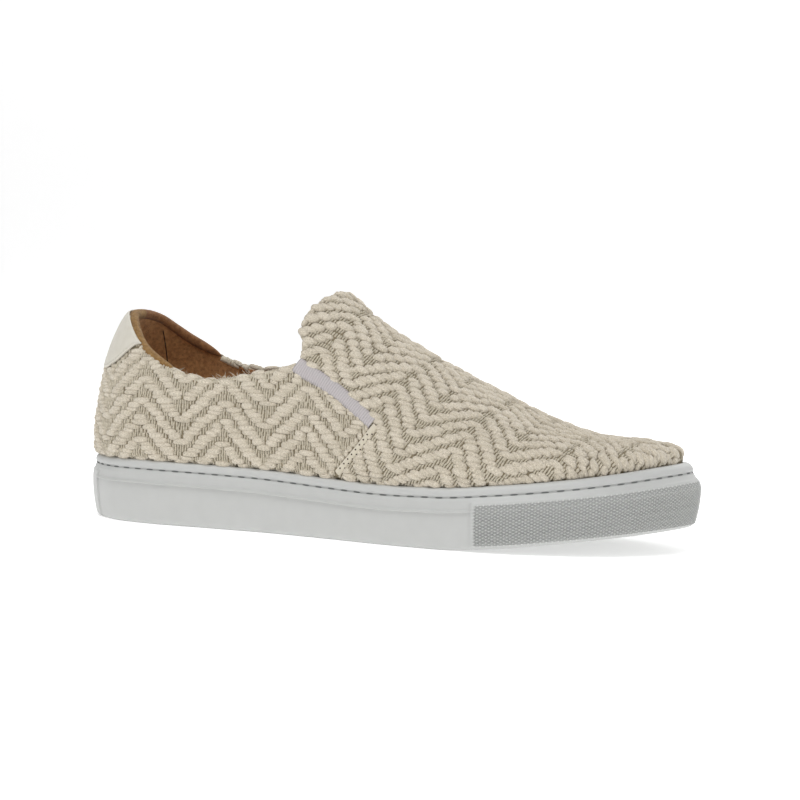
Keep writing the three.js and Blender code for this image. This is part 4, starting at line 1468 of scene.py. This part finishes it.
def tongue_fold_points():
    """Middle of the fold up the tongue's outer side, over the ridge and down its inner side."""
    start = float(on_side([(cloth_tongue[0, 0], TONGUE_START_Z)], "outer")[1][0])
    angle = np.linspace(start, RIDGE_ANGLE - 0.02, 70)
    outer, inner = (
        raised(station(np.interp(angle, TONGUE_ANGLES, TONGUE_ROWS[side]), side), angle, -FOLD) for side in SIDES
    )
    return np.concatenate([outer, inner[::-1]])


TONGUE_START_Z = 84.5
for fold_side in SIDES:
    tube_piece("collar_fold_" + fold_side, collar_fold_points(fold_side), FOLD, fold_cloth, "woven_cloth", 12)
tube_piece("tongue_fold", tongue_fold_points(), FOLD, fold_cloth, "woven_cloth", 12, np.array([1.0, 0.0, 0.0]))


# Elastic gores

GORE_RIB = 1.2  # coarser than the real 0.7 mm, so that the ribs show at this size of picture
GORE_RIB_HIGH = 0.35


def band_sheet(line, above, below, out, side, per_mm, across):
    """A sheet along a side-view line: above and below are its reach at each place, out(run, share)."""
    run = run_along(line)
    steps = int(run[-1] * per_mm)
    at = np.linspace(0, run[-1], steps + 1)
    middle = along_line(line, at)
    along = unit(np.gradient(middle, axis=0))
    normal = np.stack([-along[:, 1], along[:, 0]], 1) * np.where(along[:, :1] < 0, -1, 1)
    share = np.linspace(0, 1, across + 1)
    reach = above(middle)[:, None] * share + -below(middle)[:, None] * (1 - share)
    places = middle[:, None] + normal[:, None] * reach[..., None]
    s, angle = on_side(places.reshape(-1, 2), side)
    away = out(at[:, None] + 0 * share, share + 0 * at[:, None])
    return raised(s, angle, away.ravel()).reshape(steps + 1, across + 1, 3)


def gore_out(run, share):
    rib = np.sqrt(np.abs(np.sin(math.pi * run / GORE_RIB))) * GORE_RIB_HIGH
    edge = np.clip(np.minimum(share, 1 - share) / 0.12, 0, 1)
    return 0.15 + rib * edge - 0.5 * (1 - edge) ** 2


def shown_gore_line():
    """The elastic's middle from the topline to a little past its low end."""
    line = gore_line[gore_line[:, 0] > 117.2]
    end = line[-1] + (line[-1] - line[-2]) / np.linalg.norm(line[-1] - line[-2]) * 1.2
    return np.vstack([line, end])


def gore_sheet(beyond, out, side, per_mm, across):
    """A sheet that reaches beyond the elastic's shown edges by this much."""
    above, below = (
        lambda p, reach=reach: gore_reach(p[:, 0], reach) + beyond for reach in (GORE_ABOVE, GORE_BELOW)
    )
    return band_sheet(shown_gore_line(), above, below, out, side, per_mm, across)


def gore_piece(side):
    sheet = gore_sheet(0.5, gore_out, side, 6 / GORE_RIB, 12)
    steps = np.arange(sheet.shape[0])[:, None] / 6 + np.zeros(sheet.shape[1])
    uv = np.stack([steps, np.broadcast_to(np.linspace(0, 6, sheet.shape[1]), steps.shape)], -1)
    bm = sheet_of(sheet, uv=uv, flip=side == "inner")
    made = finish_piece(bm, "elastic_" + side, elastic, "elastic")
    thickened(made, 0.8)
    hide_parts("gore_" + side)


def gore_cords(side):
    """The stitched cord along each edge of the elastic."""
    sheet = gore_sheet(0.25, lambda run, share: 0.25 + 0 * run, side, 1.0, 8)
    for name, edge in (("upper", -1), ("lower", 0)):
        tube_piece("gore_cord_" + name + "_" + side, sheet[:, edge], 0.42, fold_cloth, "woven_cloth", 8)


# Seams from the elastic's end to the sole

SEAM_OUT = 1.3
SEAM_BEYOND = 2.2  # how far the fold runs on past its line's top, to meet the elastic
SEAM_FRONT = 1.5  # reach of the smooth fold before and behind the seam's middle line
SEAM_BACK = 1.9
# Pinholes: distance along the seam from its low end, and in front of its middle line
HOLE_RADIUS = 0.42
HOLE_FRONT = 0.15
HOLE_SECOND = 1.5
HOLE_EVERY = 2.9


def seam_out(run, share):
    ridge = np.sin(np.clip(share, 0, 1) * math.pi) ** 0.5
    return -0.3 + (SEAM_OUT + 0.3) * ridge


def seam_reach(reach):
    return lambda p: np.full(len(p), reach)


def seam_piece(side):
    top = seam_line[0] + unit(seam_line[0] - seam_line[1]) * SEAM_BEYOND
    line = np.vstack([seam_line[::-1], top])
    sheet = band_sheet(line, seam_reach(SEAM_FRONT), seam_reach(SEAM_BACK), seam_out, side, 2.0, 16)
    bm = sheet_of(sheet, flip=side == "outer")
    made = finish_piece(bm, "seam_fold_" + side, seam_cloth, "woven_cloth")
    thickened(made, 0.6)
    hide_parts("seam_" + side)


def seam_holes(side):
    """Pinholes in two rows along the fold, drawn as low domes of dark thread."""
    line = seam_line[::-1]
    at = np.arange(3.0, run_along(line)[-1] - 1.5, HOLE_EVERY)
    at = np.concatenate([at, at + HOLE_EVERY / 2])
    front = np.concatenate([np.full(len(at) // 2, HOLE_FRONT), np.full(len(at) // 2, HOLE_SECOND)])
    middle = along_line(line, at)
    along = unit(along_line(line, at + 0.5) - middle)
    normal = np.stack([along[:, 1], -along[:, 0]], 1)
    long = np.linspace(-1, 1, 5) * HOLE_RADIUS
    places = middle[:, None] + normal[:, None] * front[:, None, None] + along[:, None] * long[:, None]
    s, angle = on_side(places.reshape(-1, 2), side)
    out = np.where(front > 1, 0.45, 1.22)[:, None] + 0 * long
    lines = raised(s, angle, out.ravel()).reshape(len(at), 5, 3)
    stitches("seam_holes_" + side, lines, HOLE_RADIUS, brown_thread, "woven_cloth")


def bar_tack(side):
    """The close stitches that hold the elastic's low end."""
    end = gore_line[-1]
    at = np.linspace(-1.6, 1.6, 8)
    along = unit(gore_line[-1] - gore_line[-3])
    normal = np.array([-along[1], along[0]])
    reach = np.linspace(-1, 1, 5)
    places = end + along * (0.9 + 0.22 * at[:, None, None]) + normal * (reach[:, None] * 1.9)
    s, angle = on_side(places.reshape(-1, 2), side)
    lines = raised(s, angle, 0.75 - 0.3 * np.tile(reach ** 2, len(at)))
    stitches("bar_tack_" + side, lines.reshape(len(at), 5, 3), 0.3, fold_cloth, "woven_cloth")


seam_cloth = slubby_yarn("cream_seam_cloth", "#c9c0ab", "#dbd3c2", 0.8, 0.15)
for band_side in SIDES:
    gore_piece(band_side)
    gore_cords(band_side)
    seam_piece(band_side)
    seam_holes(band_side)
    bar_tack(band_side)


# Lining: a dark seam behind the heel's padding, a smooth leather front part and its stitches; loose fibres

LINING_SEAM_X = 21.5
LEATHER_FROM_X = 60.0
LEATHER_TO_X = 106.0
LEATHER_FOOT_Z = 40
FIBRES = 60


def on_lining(points, side, out=0.0):
    """Places on the lining's face under side-view points, raised into the shoe by out."""
    s, angle = on_side(points, side)
    return raised(s, angle, -(WALL + pad_at(s, angle) + out))


def lining_seam(side):
    z = np.linspace(45, 92, 40)
    line = on_lining(np.stack([np.full_like(z, LINING_SEAM_X), z], 1), side)
    tube_piece("lining_seam_" + side, line, 0.28, brown_thread, "suede", 6, np.array([1.0, 0, 0]))


def lining_front(side):
    x = np.linspace(LEATHER_FROM_X, LEATHER_TO_X, 47)
    top = interp(cloth_collar[side], x) + 0.5
    share = np.linspace(0, 1, 16)[:, None]
    z = LEATHER_FOOT_Z + (top - LEATHER_FOOT_Z) * share
    grid = np.stack([np.broadcast_to(x, z.shape), z], -1)
    places = on_lining(grid.reshape(-1, 2), side, 0.35).reshape(*grid.shape[:2], 3)
    bm = sheet_of(places, flip=side == "inner")
    thickened(finish_piece(bm, "lining_front_" + side, lining_leather, "suede"), 0.5, offset=0)
    seam_z = np.arange(46, top[0] - 1.5, 2.4)
    dash = seam_z[:, None] + np.linspace(-0.7, 0.7, 5)
    ends = np.stack([np.full_like(dash, LEATHER_FROM_X + 1.2), dash], -1)
    lines = on_lining(ends.reshape(-1, 2), side, 0.65).reshape(len(dash), 5, 3)
    stitches("lining_stitches_" + side, lines, 0.3, brown_thread, "suede")


def loose_fibres():
    """Curly fibres that stand out of the folded cloth along the outer side of the collar."""
    s = np.sort(random.uniform(3.3, 4.75, FIBRES))
    angle = angle_on(cloth_collar["outer"], s)
    root = skin(s, angle) + np.array([0, 0, 1.6])
    along, across = random.normal(0, 0.7, FIBRES), random.normal(0, 0.6, FIBRES)
    way = unit(np.stack([along, across, random.uniform(0.3, 1, FIBRES)], 1))
    bend = random.normal(0, 1.0, (FIBRES, 3))
    step = np.linspace(0, 1, 6)[:, None]
    long = random.uniform(1.0, 2.8, FIBRES)[:, None, None]
    lines = root[:, None] + (way[:, None] * step + bend[:, None] * 0.45 * step ** 2) * long
    stitches("loose_fibres", lines, 0.08, fold_cloth, "woven_cloth", around=4)


for lining_side in SIDES:
    lining_seam(lining_side)
    lining_front(lining_side)
loose_fibres()


# Insole: its own shape is right, so the CAD node stays, covered in the lining's suede

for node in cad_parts:
    if node.startswith("insole"):
        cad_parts[node].data.materials.clear()
        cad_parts[node].data.materials.append(suede)


# Camera, light and floor

CAMERA_TARGET = np.array([7.47, -1.53, 62.88])
CAMERA_DISTANCE = 1000.0
CAMERA_AZIMUTH = math.radians(20.0)
CAMERA_ELEVATION = math.radians(3.5)
CAMERA_ROLL = math.radians(1.7)
CAMERA_FOCAL_PIXELS = 2122.7
IMAGE_PIXELS = 800
SENSOR_MM = 36.0


def add_camera():
    a, e, r = CAMERA_AZIMUTH, CAMERA_ELEVATION, CAMERA_ROLL
    back = Vector((math.sin(a) * math.cos(e), -math.cos(a) * math.cos(e), math.sin(e)))
    level = Vector((math.cos(a), math.sin(a), 0))
    upright = back.cross(level)
    right = level * math.cos(r) + upright * math.sin(r)
    up = upright * math.cos(r) - level * math.sin(r)
    place = (Vector(CAMERA_TARGET) + back * CAMERA_DISTANCE) * MM
    data = bpy.data.cameras.new("camera")
    data.sensor_width = SENSOR_MM
    data.lens = CAMERA_FOCAL_PIXELS * SENSOR_MM / IMAGE_PIXELS
    camera = bpy.data.objects.new("camera", data)
    bpy.context.scene.collection.objects.link(camera)
    turn = Matrix((right, up, back)).transposed().to_4x4()
    camera.matrix_world = Matrix.Translation(place) @ turn
    bpy.context.scene.camera = camera


add_camera()


def area_light(name, place, target, width, height, watts):
    data = bpy.data.lights.new(name, "AREA")
    data.shape = "RECTANGLE"
    data.size = width
    data.size_y = height
    data.energy = watts
    made = bpy.data.objects.new(name, data)
    made.location = place
    aim = Vector(target) - Vector(place)
    made.rotation_euler = aim.to_track_quat("-Z", "Y").to_euler()
    bpy.context.scene.collection.objects.link(made)


area_light("key", (-0.1, -0.6, 1.3), (0, 0, 0.05), 1.0, 0.8, 10.5)
area_light("fill", (0.9, -0.8, 0.6), (0, 0, 0.05), 0.8, 0.8, 1.2)
area_light("rim", (0.2, 0.9, 0.9), (0, 0, 0.05), 1.2, 0.6, 3)

world = bpy.data.worlds.new("studio")
bpy.context.scene.world = world
world.use_nodes = True
world.node_tree.nodes["Background"].inputs["Color"].default_value = linear("#ffffff")
world.node_tree.nodes["Background"].inputs["Strength"].default_value = 0.36
bpy.context.scene.view_settings.view_transform = "Standard"


def white_paper():
    """Seamless studio paper, lit from behind as well, so that it stays nearly white."""
    made = new_material("white_paper", "#ffffff", 0.95)
    bsdf = made.node_tree.nodes["Principled BSDF"]
    bsdf.inputs["Emission Color"].default_value = linear("#ffffff")
    bsdf.inputs["Emission Strength"].default_value = 0.36
    return made


def add_backdrop():
    """A sheet of paper that lies under the shoe and rises behind it in a wide curve."""
    turn = np.linspace(0, math.pi / 2, 13)
    radius, behind, front, top, half = 0.6, 1.2, -3.0, 3.0, 4.0
    y = [front, -0.5, *(behind + radius * np.sin(turn)), behind + radius]
    z = [0, 0, *(radius * (1 - np.cos(turn))), top]
    profile = np.stack([np.zeros(len(y)), y, z], 1)
    rows = np.stack([profile + [-half, 0, 0], profile + [half, 0, 0]], 1)
    paper = plain_object(sheet_of(rows / MM - SHIFT), "backdrop")
    paper.data.materials.append(white_paper())
    paper.data.shade_smooth()


add_backdrop()
